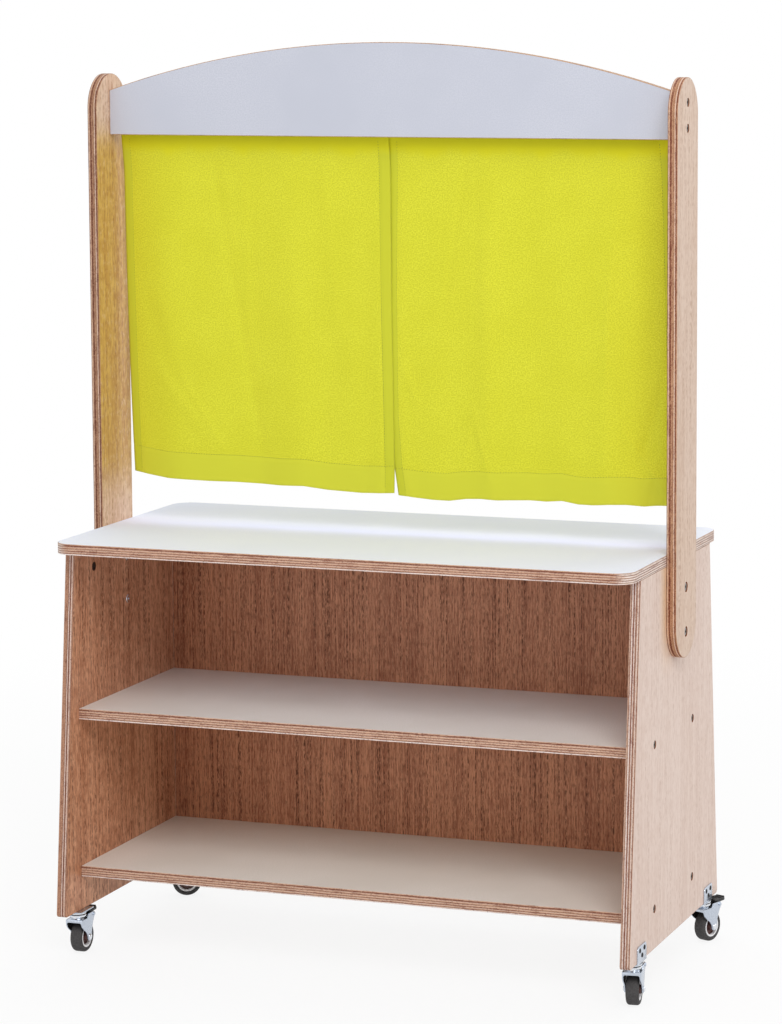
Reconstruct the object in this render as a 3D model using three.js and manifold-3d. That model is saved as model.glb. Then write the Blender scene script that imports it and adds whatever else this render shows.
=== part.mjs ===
// Puppet theater stand: a rolling shelf unit of plywood with a worktop, two posts, an arched
// header board between them and a pair of curtains on a rod behind the header.
// Millimetres, +Z up, X to the right and Y to the back, seen from the front.
// The origin is on the floor below the middle of the unit.

import * as THREE from 'three';
import { mergeVertices } from 'three/addons/utils/BufferGeometryUtils.js';
import Module from 'manifold-3d';

const wasm = await Module();
wasm.setup();

// Boards
const unitWidth = 968; // across the outer faces of the side panels
const panelThickness = 16;
const panelHeight = 594;
const panelBottomDepth = 500;
const panelTopDepth = 388;
const panelCornerRadius = 6;
const topThickness = 17.6; // plywood with laminate on both faces
const topSetback = 3; // of its front and back edges from the side panels' lower corners
const topCornerRadius = 35;
const shelfThickness = 17.6;
const shelfDepth = 367;
const middleShelfRise = 333; // upper face above the bottom of the side panels
const lowerShelfRise = 72.6;
const backThickness = 12;
const backInset = 4; // from the side panels' back edge at the top
const postThickness = 16;
const postWidth = 114;
const postLength = 910;
const postOverlap = 152; // below the underside of the worktop
const leftPostRaise = 3; // how much higher the left post is fixed
const headerThickness = 16;
const headerEndHeight = 73;
const headerRise = 78; // of the arch above the header's ends
const headerDrop = 97; // header's lower edge below the top of the right post

// Curtain rod, held in blind holes in the posts
const rodRadius = 6;
const rodDrop = 77; // below the top of the right post
const rodSetback = 25; // behind the middle of the header
const rodSocketDepth = 8;

// Curtains
const clothThickness = 1.5;
const clothSlideGap = 0.4; // between the sleeve and the rod
const curtainPostGap = 8;
const leftHemDraw = 13; // how much narrower the hem hangs than the sleeve
const rightHemDraw = 3;
const curtainPartingX = -0.5;
const curtainPartingGap = 3;
const leftInnerLength = 597; // from the rod's axis to the hem
const leftOuterLength = 580;
const rightInnerLength = 600.5;
const rightOuterLength = 597;

const foldReach = 10; // of the deepest fold, at the hem

// Each fold runs down the cloth: where it starts at the rod and ends at the hem, counted from
// the parting to the post, and its half width, as shares of the cloth's width. Its depth is a
// share of the deepest fold's, and positive folds come towards the front.
const leftFoldShares = [
  { topShare: 0.03, hemShare: 0.05, halfWidthShare: 0.04, depthShare: 0.4 },
  { topShare: 0.38, hemShare: 0.36, halfWidthShare: 0.07, depthShare: 0.5 },
  { topShare: 0.71, hemShare: 0.57, halfWidthShare: 0.06, depthShare: 1 },
  { topShare: 0.82, hemShare: 0.72, halfWidthShare: 0.06, depthShare: -0.6 },
  { topShare: 0.9, hemShare: 0.9, halfWidthShare: 0.05, depthShare: -0.9 },
  { topShare: 0.98, hemShare: 0.98, halfWidthShare: 0.04, depthShare: 0.7 },
];
const rightFoldShares = [
  { topShare: 0.02, hemShare: 0.03, halfWidthShare: 0.04, depthShare: 0.5 },
  { topShare: 0.23, hemShare: 0.16, halfWidthShare: 0.05, depthShare: -0.6 },
  { topShare: 0.34, hemShare: 0.32, halfWidthShare: 0.06, depthShare: 0.8 },
  { topShare: 0.5, hemShare: 0.52, halfWidthShare: 0.07, depthShare: -0.5 },
  { topShare: 0.78, hemShare: 0.76, halfWidthShare: 0.06, depthShare: 0.8 },
  { topShare: 0.93, hemShare: 0.92, halfWidthShare: 0.05, depthShare: -0.7 },
];

// Screws, bolts and cam locks
const screwRadius = 2.5;
const screwHeadRadius = 5.7;
const screwHeadHeight = 3;
const screwSink = 0.8; // head below the board's face
const screwLength = 50;
const screwSocketRadius = 2.3; // corners of the hexagonal socket
const screwSocketDepth = 2;
const headerScrewRise = 18.2; // lower screw above the header's lower edge
const headerScrewPitch = 40;
const shelfScrewPitch = 212.1;
const shelfScrewMiddleY = -10.5;
const boltPitch = 71.2;
const boltUpperDrop = 39.9; // below the underside of the worktop
const boltShankRadius = 2.8;
const boltHeadRadius = 6.5;
const nutRadius = 4;
const nutLength = 13;
const nutFlangeRadius = 7;
const nutFlangeHeight = 1.6;
const nutFloor = 3; // between the nut's bore and its flange's face
const boltEngagement = 8; // of the bolt in the nut
const camRadius = 7.3;
const camDepth = 12.5;
const camDrop = 37.4; // below the underside of the worktop
const camPitch = 249;
const camSlotWidth = 1.6;
const camSlotLength = 9;
const camSlotDepth = 1.5;
const camBoltRadius = 3;
const camBoltEngagement = 10; // of its bolt in the worktop
const fitGap = 0.3; // round each pin or screw in its hole

// Casters
const wheelRadius = 25;
const tyreWidth = 21;
const tyreShoulder = 4.5;
const tyreLean = 1.5; // of its sides, from the shoulder to the rim and to the tread
const rimRadius = 17;
const rimWidth = 16;
const rimThickness = 2.2;
const webWidth = 5;
const hubRadius = 7;
const hubWidth = 24;
const axleRadius = 3;
const axleHeadRadius = 4.6;
const axleHeadHeight = 2.4;
const casterTrail = 15;
const forkSheet = 2;
const forkSideGap = 0.8; // between the hub and each leg
const crownGap = 6; // between the wheel and the crown
const crownFront = 13; // ahead of the swivel's axis
const crownRim = 5;
const legEndRadius = 6.5;
const legWaistRise = 19; // above the axle, where the leg begins to widen towards the ear
const legWaistSpread = 2; // beyond the round end
const legStepFront = 8; // where the leg's upper edge starts to rise beside the race
const legStepBack = 12;
const raceRadius = 14.5;
const raceFootRadius = 10.5;
const raceLipHeight = 5;
const raceHeight = 11.7;
const kingpinRadius = 4;
const kingpinHeadRadius = 6;
const kingpinNeck = 0.6; // below the countersunk head
const bracketSheet = 2;
const bracketWidth = 46;
const bracketHeight = 26;
const bracketCornerRadius = 6;
const bracketHoleRadius = 2.2;
const bracketSinkRadius = 3.8;
const bracketHolePitch = 24;
const bracketUpperHoleRise = 19;
const bracketLowerHoleRise = 9.5;
const bracketReach = 14.8; // of the flange beyond the swivel's axis, towards the inside
const casterInset = 54; // swivel's axis from the side panel's lower corner
const swivelInset = 11; // swivel's axis from the side panel's outer face
const bracketSetIn = 8; // of its middle from the swivel's axis, towards the panel's middle
const frontLeftHeading = 0; // degrees from straight back towards +X
const frontRightHeading = -8;
const backLeftHeading = 65;
const backRightHeading = 20;

// Brake pedals
const pedalPivotOut = 30; // from the swivel's axis
const pedalPivotRise = 2; // above the crown
const pedalPivotRadius = 2;
const pedalEarRadius = 4;
const pedalInnerEnd = 22.5;
const pedalOuterEnd = 53;
const pedalWidth = 23;
const pedalCornerRadius = 9;
const pedalThickness = 4.5;
const pedalLip = 1.4;
const pedalTopDrop = 3; // below the underside of the bracket's flange
const pedalBossWidth = 20;
const pedalBossRadius = 4.6;
const shoeReach = 12.6; // below the pivot
const shoeWidth = 5;
const shoeShift = 2; // of its middle, outwards from the pivot

// Facets and overruns
const overrun = 1; // of a cutting tool past a face
const pinSides = 8;
const roundSides = 12;
const raceSides = 16;
const wheelSides = 20;
const arcSteps = 3;
const archSteps = 24;
const postEndSteps = 14;
const clothStations = 30;
const clothLevels = 5;
const sleeveSteps = 7;
const hexagonSides = 6;
const weldDistance = 0.00001; // corners nearer than this are one

// Worked out from the sizes above
const topDepth = panelBottomDepth - 2 * topSetback;
const panelOuterX = unitWidth / 2;
const panelInnerX = panelOuterX - panelThickness;
const postOuterX = panelOuterX + postThickness;
const forkTop = 2 * wheelRadius + crownGap + forkSheet;
const flangeZ = forkTop + raceHeight + fitGap;
const panelZ = flangeZ + bracketSheet;
const topZ = panelZ + panelHeight;
const postZ = topZ - postOverlap;
const postTopZ = postZ + postLength;
const headerZ = postTopZ - headerDrop;
const rodZ = postTopZ - rodDrop;
const lowerShelfZ = panelZ + lowerShelfRise - shelfThickness;
const middleShelfZ = panelZ + middleShelfRise - shelfThickness;
const backFaceY = panelTopDepth / 2 - backInset - backThickness;
const shelfY = backFaceY - shelfDepth / 2;
const legInnerX = hubWidth / 2 + forkSideGap;
const legOuterX = legInnerX + forkSheet;
const casterX = panelOuterX - swivelInset;
const casterY = panelBottomDepth / 2 - casterInset;
const kingpinSinkShare = (bracketSheet - fitGap - kingpinNeck) / (bracketSheet - kingpinNeck);
const kingpinTopRadius = kingpinRadius + (kingpinHeadRadius - kingpinRadius) * kingpinSinkShare;
const pedalPivotZ = forkTop + pedalPivotRise;

// Finishes
const finish = (color, roughness, metalness = 0) =>
  new THREE.MeshStandardMaterial({ color, roughness, metalness });
const plywood = finish(0xdecabc, 0.55);
const laminate = finish(0xe4e7e6, 0.35);
const paintedBoard = finish(0xcaccd8, 0.45);
const cloth = finish(0xd6db2d, 0.9);
const steel = finish(0xc4c8ce, 0.3, 0.9);
const zinc = finish(0xb9bec6, 0.35, 0.85);
const rubber = finish(0x464444, 0.8);
const palePlastic = finish(0xdcdcdc, 0.5);
const blackPlastic = finish(0x2d2d30, 0.5);

// Solids and booleans
function solid(geometry) {
  const bare = geometry.index ? geometry.clone() : mergeVertices(geometry.clone());
  bare.deleteAttribute('normal');
  bare.deleteAttribute('uv');
  const merged = mergeVertices(bare, weldDistance);
  return new wasm.Manifold(new wasm.Mesh({
    numProp: 3,
    vertProperties: new Float32Array(merged.attributes.position.array),
    triVerts: new Uint32Array(merged.index.array),
  }));
}

function geometryOf(manifold) {
  const mesh = manifold.getMesh();
  const geometry = new THREE.BufferGeometry();
  geometry.setAttribute('position', new THREE.BufferAttribute(mesh.vertProperties, 3));
  geometry.setIndex(new THREE.BufferAttribute(mesh.triVerts, 1));
  geometry.computeVertexNormals();
  return geometry;
}

function join(...geometries) {
  return geometryOf(geometries.map(solid).reduce((whole, piece) => whole.add(piece)));
}

function cut(geometry, ...tools) {
  return geometryOf(tools.map(solid).reduce((rest, tool) => rest.subtract(tool), solid(geometry)));
}

function common(first, second) {
  return geometryOf(solid(first).intersect(solid(second)));
}

// A box from its lowest corner and its size
function block(x, y, z, width, depth, height) {
  const geometry = new THREE.BoxGeometry(width, depth, height);
  return geometry.translate(x + width / 2, y + depth / 2, z + height / 2);
}

// An outline in Y and Z, extruded along X from x
function extrudeX(shape, x, length, steps = arcSteps) {
  const geometry = new THREE.ExtrudeGeometry(shape, {
    depth: length,
    bevelEnabled: false,
    curveSegments: steps,
  });
  const across = new THREE.Vector3(0, 1, 0);
  const up = new THREE.Vector3(0, 0, 1);
  const along = new THREE.Vector3(1, 0, 0);
  geometry.applyMatrix4(new THREE.Matrix4().makeBasis(across, up, along));
  return geometry.translate(x, 0, 0);
}

// An outline in X and Y, extruded upwards from z
function extrudeZ(shape, z, height, steps = arcSteps) {
  const geometry = new THREE.ExtrudeGeometry(shape, {
    depth: height,
    bevelEnabled: false,
    curveSegments: steps,
  });
  return geometry.translate(0, 0, z);
}

// A turned piece: pairs of radius and height, round the Z axis
function turnZ(profile, sides = roundSides) {
  const points = profile.map(([radius, height]) => new THREE.Vector2(radius, height));
  return new THREE.LatheGeometry(points, sides).rotateX(Math.PI / 2);
}

// The same round the X axis; side is 1 where the profile's heights grow towards +X
function turnX(profile, side = 1, sides = roundSides) {
  return turnZ(profile, sides).rotateY(side * Math.PI / 2);
}

// A plain round rod or hole from one height to another, round the Z or X axis
const rodProfile = (radius, from, to) => [[0, from], [radius, from], [radius, to], [0, to]];
const roundZ = (radius, from, to, sides = roundSides) => turnZ(rodProfile(radius, from, to), sides);
const roundX = (radius, from, to, sides = roundSides) =>
  turnX(rodProfile(radius, Math.min(from, to), Math.max(from, to)), 1, sides);

// A closed outline through corners given as [x, y, radius]
function roundedOutline(corners) {
  const shape = new THREE.Shape();
  corners.forEach(([x, y, radius], i) => {
    const corner = new THREE.Vector2(x, y);
    const before = new THREE.Vector2(...corners.at(i - 1));
    const after = new THREE.Vector2(...corners[(i + 1) % corners.length]);
    const start = corner.clone().add(before.sub(corner).setLength(radius));
    const end = corner.clone().add(after.sub(corner).setLength(radius));
    if (i === 0) shape.moveTo(start.x, start.y);
    else shape.lineTo(start.x, start.y);
    if (radius > 0) shape.quadraticCurveTo(corner.x, corner.y, end.x, end.y);
  });
  shape.closePath();
  return shape;
}

// The group that holds every piece
const stand = new THREE.Group();

function place(name, geometry, material, group = stand, x = 0, y = 0, z = 0) {
  const mesh = new THREE.Mesh(geometry, material);
  mesh.name = name;
  mesh.position.set(x, y, z);
  group.add(mesh);
  return mesh;
}

const sides = [
  { name: 'left', side: -1 },
  { name: 'right', side: 1 },
];

// Places of the fasteners
const headerScrewHeights = [headerZ + headerScrewRise, headerZ + headerScrewRise + headerScrewPitch];
const boltHeights = [topZ - boltUpperDrop - boltPitch, topZ - boltUpperDrop];
const shelfScrewYs = [
  shelfScrewMiddleY - shelfScrewPitch / 2,
  shelfScrewMiddleY + shelfScrewPitch / 2,
];
const shelfMiddles = [
  { name: 'lower', z: lowerShelfZ + shelfThickness / 2 },
  { name: 'middle', z: middleShelfZ + shelfThickness / 2 },
];
const camYs = [-camPitch / 2, camPitch / 2];
const camZ = topZ - camDrop;
const camBoltX = panelInnerX + panelThickness / 2;

// A counterbored hole from an outer face at x towards the middle of the unit
function screwHole(side, x, y, z, depth, shank = screwRadius, head = screwHeadRadius) {
  const seat = x - screwSink - screwHeadHeight;
  const bore = roundX(shank + fitGap, side * (x - depth), side * (x + overrun), pinSides);
  const mouth = roundX(head + fitGap, side * seat, side * (x + overrun));
  return join(bore, mouth).translate(0, y, z);
}

// The hexagonal socket in a head whose face is at x
function hexSocket(side, face) {
  const bottom = side * (face - screwSocketDepth);
  return roundX(screwSocketRadius, bottom, side * (face + overrun), hexagonSides);
}

// A screw or bolt with a hexagonal socket, its head's outer face below the board's face at x
function socketScrew(side, x, length, shank = screwRadius, head = screwHeadRadius) {
  const face = x - screwSink;
  const seat = face - screwHeadHeight;
  const headDisc = roundX(head, side * seat, side * face);
  const middle = (face + seat) / 2;
  const shankRod = roundX(shank, side * (face - length), side * middle, pinSides);
  return cut(join(headDisc, shankRod), hexSocket(side, face));
}

// Side panels: they taper towards the worktop
function sidePanel(side) {
  const outline = roundedOutline([
    [-panelBottomDepth / 2, 0, panelCornerRadius],
    [panelBottomDepth / 2, 0, panelCornerRadius],
    [panelTopDepth / 2, panelHeight, 0],
    [-panelTopDepth / 2, panelHeight, 0],
  ]);
  const board = extrudeX(outline, side > 0 ? panelInnerX : -panelOuterX, panelThickness);
  board.translate(0, 0, panelZ);
  const tools = [];
  for (const z of boltHeights) {
    const inside = side * (panelInnerX - overrun);
    const bore = roundX(nutRadius + fitGap, inside, side * (panelOuterX + overrun));
    tools.push(bore.translate(0, 0, z));
  }
  for (const shelf of shelfMiddles) {
    for (const y of shelfScrewYs) {
      tools.push(screwHole(side, panelOuterX, y, shelf.z, panelThickness + overrun));
    }
  }
  for (const y of camYs) tools.push(camSpace(side, y));
  return cut(board, ...tools);
}

// The space that a cam lock and its bolt take in the boards
function camSpace(side, y) {
  const drum = roundX(
    camRadius + fitGap,
    side * (panelInnerX - overrun),
    side * (panelInnerX + camDepth + fitGap),
  );
  const boreEnd = camDrop + camBoltEngagement + fitGap;
  const bore = roundZ(camBoltRadius + fitGap, 0, boreEnd, pinSides);
  return join(drum, bore.translate(side * camBoltX, 0, 0)).translate(0, y, camZ);
}

// A cam lock in its side panel, with the bolt that draws the worktop down
function camLock(side) {
  const face = panelInnerX + fitGap;
  const drum = roundX(camRadius, side * face, side * (panelInnerX + camDepth));
  const bolt = roundZ(camBoltRadius, 0, camDrop + camBoltEngagement, pinSides);
  const slot = block(
    side > 0 ? face - overrun : -face - camSlotDepth,
    -camSlotLength / 2,
    -camSlotWidth / 2,
    camSlotDepth + overrun,
    camSlotLength,
    camSlotWidth,
  );
  return cut(join(drum, bolt.translate(side * camBoltX, 0, 0)), slot);
}

function worktop() {
  const outline = roundedOutline([
    [-panelOuterX, -topDepth / 2, topCornerRadius],
    [panelOuterX, -topDepth / 2, topCornerRadius],
    [panelOuterX, topDepth / 2, topCornerRadius],
    [-panelOuterX, topDepth / 2, topCornerRadius],
  ]);
  const board = extrudeZ(outline, topZ, topThickness);
  const bores = [];
  for (const { side } of sides) {
    for (const y of camYs) {
      const end = topZ + camBoltEngagement + fitGap;
      const bore = roundZ(camBoltRadius + fitGap, topZ - overrun, end, pinSides);
      bores.push(bore.translate(side * camBoltX, y, 0));
    }
  }
  return cut(board, ...bores);
}

// A shelf between the side panels, with a screw hole at each end of each screw line
function shelf(z) {
  const board = block(
    -panelInnerX,
    shelfY - shelfDepth / 2,
    z,
    2 * panelInnerX,
    shelfDepth,
    shelfThickness,
  );
  const holes = [];
  for (const { side } of sides) {
    for (const y of shelfScrewYs) {
      const bore = roundX(
        screwRadius + fitGap,
        side * (panelOuterX - screwSink - screwLength - fitGap),
        side * (panelInnerX + overrun),
        pinSides,
      );
      holes.push(bore.translate(0, y, z + shelfThickness / 2));
    }
  }
  return cut(board, ...holes);
}

function backPanel() {
  return block(
    -panelInnerX,
    backFaceY,
    lowerShelfZ,
    2 * panelInnerX,
    backThickness,
    topZ - lowerShelfZ,
  );
}

// A post with full round ends, on the outside of its side panel
function post(side) {
  const radius = postWidth / 2;
  const raise = side < 0 ? leftPostRaise : 0;
  const outline = new THREE.Shape();
  outline.absarc(0, postZ + raise + radius, radius, -Math.PI, 0, false);
  outline.absarc(0, postTopZ + raise - radius, radius, 0, Math.PI, false);
  outline.closePath();
  const board = extrudeX(
    outline,
    side > 0 ? panelOuterX : -postOuterX,
    postThickness,
    postEndSteps,
  );
  const depth = postThickness + overrun;
  const tools = headerScrewHeights.map((z) => screwHole(side, postOuterX, 0, z, depth));
  for (const z of boltHeights) {
    tools.push(screwHole(side, postOuterX, 0, z, depth, boltShankRadius, boltHeadRadius));
  }
  const socket = roundX(
    rodRadius + fitGap,
    side * (panelOuterX - overrun),
    side * (panelOuterX + rodSocketDepth + fitGap),
  );
  tools.push(socket.translate(0, rodSetback, rodZ));
  return cut(board, ...tools);
}

// The header board: straight below, an arc of a circle above
function headerBoard() {
  const halfSpan = panelOuterX;
  const radius = (halfSpan ** 2 + headerRise ** 2) / (2 * headerRise);
  const centreZ = headerEndHeight + headerRise - radius;
  const endAngle = Math.asin(halfSpan / radius);
  const outline = new THREE.Shape();
  outline.moveTo(-halfSpan, 0);
  outline.lineTo(halfSpan, 0);
  outline.absarc(0, centreZ, radius, Math.PI / 2 - endAngle, Math.PI / 2 + endAngle, false);
  outline.closePath();
  const board = new THREE.ExtrudeGeometry(outline, {
    depth: headerThickness,
    bevelEnabled: false,
    curveSegments: archSteps,
  });
  board.rotateX(Math.PI / 2).translate(0, headerThickness / 2, headerZ);
  const holes = [];
  for (const { side } of sides) {
    for (const z of headerScrewHeights) {
      const bore = roundX(
        screwRadius + fitGap,
        side * (postOuterX - screwSink - screwLength - fitGap),
        side * (panelOuterX + overrun),
        pinSides,
      );
      holes.push(bore.translate(0, 0, z));
    }
  }
  return cut(board, ...holes);
}

function curtainRod() {
  const end = panelOuterX + rodSocketDepth;
  return roundX(rodRadius, -end, end);
}

// How far the cloth stands forward of the rod's plane, down the cloth and across it
function foldDepth(folds, acrossShare, downShare) {
  const growth = Math.sqrt(downShare);
  return folds.reduce((sum, fold) => {
    const middle = fold.topShare + (fold.hemShare - fold.topShare) * downShare;
    const away = (acrossShare - middle) / fold.halfWidthShare;
    return sum + foldReach * fold.depthShare * growth * Math.exp(-away * away);
  }, 0);
}

// The section of a curtain at one place across it, as [y, z] round the rod's axis: up the
// back of the cloth, round the rod inside the sleeve, back outside it and down the front
function curtainSection(folds, acrossShare, length) {
  const half = clothThickness / 2;
  const inner = (rodRadius + clothSlideGap) / Math.cos(Math.PI / sleeveSteps);
  const outer = inner + clothThickness;
  const outerStart = Math.asin(half / outer);
  const innerStart = -Math.asin(half / inner);
  const end = 2 * Math.PI - Math.asin((half + clothSlideGap) / inner);
  const levels = Array.from({ length: clothLevels }, (_, i) => 1 - i / clothLevels);
  const sheet = (side) => levels.map((share) => [
    side * half - foldDepth(folds, acrossShare, share),
    -outer - (length - outer) * share,
  ]);
  const arc = (radius, from, to) => Array.from({ length: sleeveSteps + 1 }, (_, i) => {
    const angle = from + (to - from) * i / sleeveSteps;
    return [-radius * Math.sin(angle), -radius * Math.cos(angle)];
  });
  return [
    ...sheet(1),
    ...arc(inner, innerStart, end),
    ...arc(outer, end, outerStart),
    ...sheet(-1).reverse(),
  ];
}

// A curtain from its parting edge to its outer edge, in folds below the rod. The outer edge
// draws in towards the hem.
function curtain(innerX, outerX, innerLength, outerLength, hemDraw, folds) {
  const sections = Array.from({ length: clothStations + 1 }, (_, i) => {
    const share = i / clothStations;
    return curtainSection(folds, share, innerLength + (outerLength - innerLength) * share);
  });
  const count = sections[0].length;
  const positions = [];
  sections.forEach((section, i) => {
    const share = i / clothStations;
    section.forEach(([y, z]) => {
      const downShare = Math.max(-z, 0) / innerLength;
      const drawn = outerX - Math.sign(outerX - innerX) * hemDraw * downShare;
      positions.push(innerX + (drawn - innerX) * share, y, z);
    });
  });
  const faces = [];
  for (let i = 0; i < clothStations; i += 1) {
    for (let j = 0; j < count; j += 1) {
      const a = i * count + j;
      const b = i * count + (j + 1) % count;
      faces.push([a, b, b + count], [a, b + count, a + count]);
    }
  }
  const capOf = (section) => THREE.ShapeUtils.triangulateShape(
    section.map(([y, z]) => new THREE.Vector2(y, z)),
    [],
  );
  const last = clothStations * count;
  capOf(sections[0]).forEach(([a, b, c]) => faces.push([a, c, b]));
  capOf(sections[clothStations]).forEach(([a, b, c]) => faces.push([last + a, last + b, last + c]));
  const outward = outerX > innerX ? faces : faces.map(([a, b, c]) => [a, c, b]);
  const geometry = new THREE.BufferGeometry();
  geometry.setAttribute('position', new THREE.Float32BufferAttribute(positions, 3));
  geometry.setIndex(outward.flat());
  geometry.computeVertexNormals();
  return geometry;
}

// A sleeve nut in the side panel: its flange on the inner face, its barrel open to the bolt
function sleeveNut(side) {
  const flangeFace = panelInnerX - nutFlangeHeight;
  const barrelEnd = panelInnerX + nutLength;
  const flange = roundX(nutFlangeRadius, side * flangeFace, side * panelInnerX);
  const barrel = roundX(nutRadius, side * (flangeFace + nutFlangeHeight / 2), side * barrelEnd);
  const bore = roundX(
    boltShankRadius + fitGap,
    side * (flangeFace + nutFloor),
    side * (barrelEnd + overrun),
    pinSides,
  );
  return cut(join(flange, barrel), bore, hexSocket(-side, -flangeFace));
}

// A caster's bracket: a plate on the side panel's outer face, and a flange under the panel.
// Its middle is a little nearer the panel's middle than the swivel's axis is.
function casterBracket(side, end) {
  const half = bracketWidth / 2;
  const middleY = -end * bracketSetIn;
  const outline = roundedOutline([
    [-half, 0, 0],
    [half, 0, 0],
    [half, bracketSheet + bracketHeight, bracketCornerRadius],
    [-half, bracketSheet + bracketHeight, bracketCornerRadius],
  ]);
  const plate = extrudeX(outline, side > 0 ? 0 : -bracketSheet, bracketSheet);
  plate.translate(side * (panelOuterX - casterX), 0, flangeZ);
  const outerEnd = panelOuterX + bracketSheet - casterX;
  const flange = block(
    side > 0 ? -bracketReach : -outerEnd,
    -half,
    flangeZ,
    bracketReach + outerEnd,
    bracketWidth,
    bracketSheet,
  );
  const sheet = join(plate, flange).translate(0, middleY, 0);
  const holes = bracketHoles(side).map((hole) => hole.translate(0, middleY, 0));
  return cut(sheet, kingpinHole(), ...holes);
}

// The countersunk hole in the flange that holds the fork's kingpin
function kingpinHole() {
  return turnZ([
    [0, flangeZ - overrun],
    [kingpinRadius + fitGap, flangeZ - overrun],
    [kingpinRadius + fitGap, flangeZ + kingpinNeck],
    [kingpinHeadRadius + fitGap, flangeZ + bracketSheet],
    [kingpinHeadRadius + fitGap, flangeZ + bracketSheet + overrun],
    [0, flangeZ + bracketSheet + overrun],
  ], raceSides);
}

// Three countersunk screw holes: two above, one below
function bracketHoles(side) {
  const face = panelOuterX + bracketSheet - casterX;
  const holes = [
    [-bracketHolePitch / 2, bracketUpperHoleRise],
    [bracketHolePitch / 2, bracketUpperHoleRise],
    [0, bracketLowerHoleRise],
  ];
  return holes.map(([y, rise]) => turnX([
    [0, face - bracketSheet - overrun],
    [bracketHoleRadius, face - bracketSheet - overrun],
    [bracketHoleRadius, face - bracketSheet / 2],
    [bracketSinkRadius, face],
    [bracketSinkRadius, face + overrun],
    [0, face + overrun],
  ], side, pinSides).translate(0, y, flangeZ + bracketSheet + rise));
}

// The side outline of a fork's leg, from the crown down to the axle and out to the pedal's ear
function forkLegOutline() {
  const outline = new THREE.Shape();
  const axleZ = wheelRadius;
  const frontFoot = forkTop - crownRim;
  outline.moveTo(-crownFront, forkTop);
  outline.lineTo(-crownFront, frontFoot);
  outline.quadraticCurveTo(
    casterTrail - legEndRadius,
    frontFoot - crownRim,
    casterTrail - legEndRadius,
    axleZ,
  );
  outline.absarc(casterTrail, axleZ, legEndRadius, Math.PI, 2 * Math.PI, false);
  outline.lineTo(casterTrail + legEndRadius + legWaistSpread, axleZ + legWaistRise);
  outline.lineTo(pedalPivotOut + pedalEarRadius, pedalPivotZ - pedalEarRadius / 2);
  outline.absarc(pedalPivotOut, pedalPivotZ, pedalEarRadius, 0, Math.PI / 2, false);
  outline.lineTo(legStepBack, pedalPivotZ + pedalEarRadius);
  outline.lineTo(legStepFront, forkTop);
  outline.closePath();
  return outline;
}

function fork() {
  const legs = [legInnerX, -legOuterX].map((x) => extrudeX(forkLegOutline(), x, forkSheet));
  const crown = block(
    -legOuterX + forkSheet / 2,
    -crownFront,
    forkTop - forkSheet,
    2 * legOuterX - forkSheet,
    crownFront + raceRadius,
    forkSheet,
  );
  const race = turnZ([
    [0, forkTop - forkSheet / 2],
    [raceFootRadius, forkTop - forkSheet / 2],
    [raceFootRadius, forkTop],
    [raceRadius, forkTop + raceHeight - raceLipHeight],
    [raceRadius, forkTop + raceHeight],
    [kingpinRadius, forkTop + raceHeight],
    [kingpinRadius, flangeZ + kingpinNeck],
    [kingpinTopRadius, flangeZ + bracketSheet - fitGap],
    [0, flangeZ + bracketSheet - fitGap],
  ], raceSides);
  const pin = roundX(pedalPivotRadius, -legInnerX - forkSheet / 2, legInnerX + forkSheet / 2);
  pin.translate(0, pedalPivotOut, pedalPivotZ);
  const bores = roundX(axleRadius + fitGap, -legOuterX - overrun, legOuterX + overrun);
  bores.translate(0, casterTrail, wheelRadius);
  return cut(join(...legs, crown, race, pin), bores);
}

// The axle: a rod with a domed head outside each leg
function axle() {
  const face = legOuterX + fitGap;
  const dome = axleHeadHeight / 2;
  return turnX([
    [0, -face - axleHeadHeight],
    [axleHeadRadius - dome, -face - axleHeadHeight],
    [axleHeadRadius, -face - dome],
    [axleHeadRadius, -face],
    [axleRadius, -face],
    [axleRadius, face],
    [axleHeadRadius, face],
    [axleHeadRadius, face + dome],
    [axleHeadRadius - dome, face + axleHeadHeight],
    [0, face + axleHeadHeight],
  ], 1, pinSides);
}

// Round pieces of the wheel stand on a flat facet, whose middle is at the wheel's full radius
const facetStretch = 1 / Math.cos(Math.PI / wheelSides);
const facetTurn = Math.PI / wheelSides;

function wheelTurned(profile) {
  const stretched = profile.map(([radius, x]) => [radius * facetStretch, x]);
  return turnX([...stretched, stretched[0]], 1, wheelSides).rotateX(facetTurn);
}

function hub() {
  const bore = axleRadius + fitGap;
  return wheelTurned([
    [bore, -hubWidth / 2],
    [hubRadius, -hubWidth / 2],
    [hubRadius, -webWidth / 2],
    [rimRadius - rimThickness, -webWidth / 2],
    [rimRadius - rimThickness, -rimWidth / 2],
    [rimRadius - fitGap, -rimWidth / 2],
    [rimRadius - fitGap, rimWidth / 2],
    [rimRadius - rimThickness, rimWidth / 2],
    [rimRadius - rimThickness, webWidth / 2],
    [hubRadius, webWidth / 2],
    [hubRadius, hubWidth / 2],
    [bore, hubWidth / 2],
  ]);
}

function tyre() {
  const half = tyreWidth / 2;
  return wheelTurned([
    [rimRadius, -rimWidth / 2],
    [rimRadius + tyreLean, -half + tyreLean / 2],
    [wheelRadius - tyreShoulder, -half],
    [wheelRadius - tyreLean, -half + tyreLean],
    [wheelRadius, -half + tyreShoulder],
    [wheelRadius, half - tyreShoulder],
    [wheelRadius - tyreLean, half - tyreLean],
    [wheelRadius - tyreShoulder, half],
    [rimRadius + tyreLean, half - tyreLean / 2],
    [rimRadius, rimWidth / 2],
  ]);
}

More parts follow.
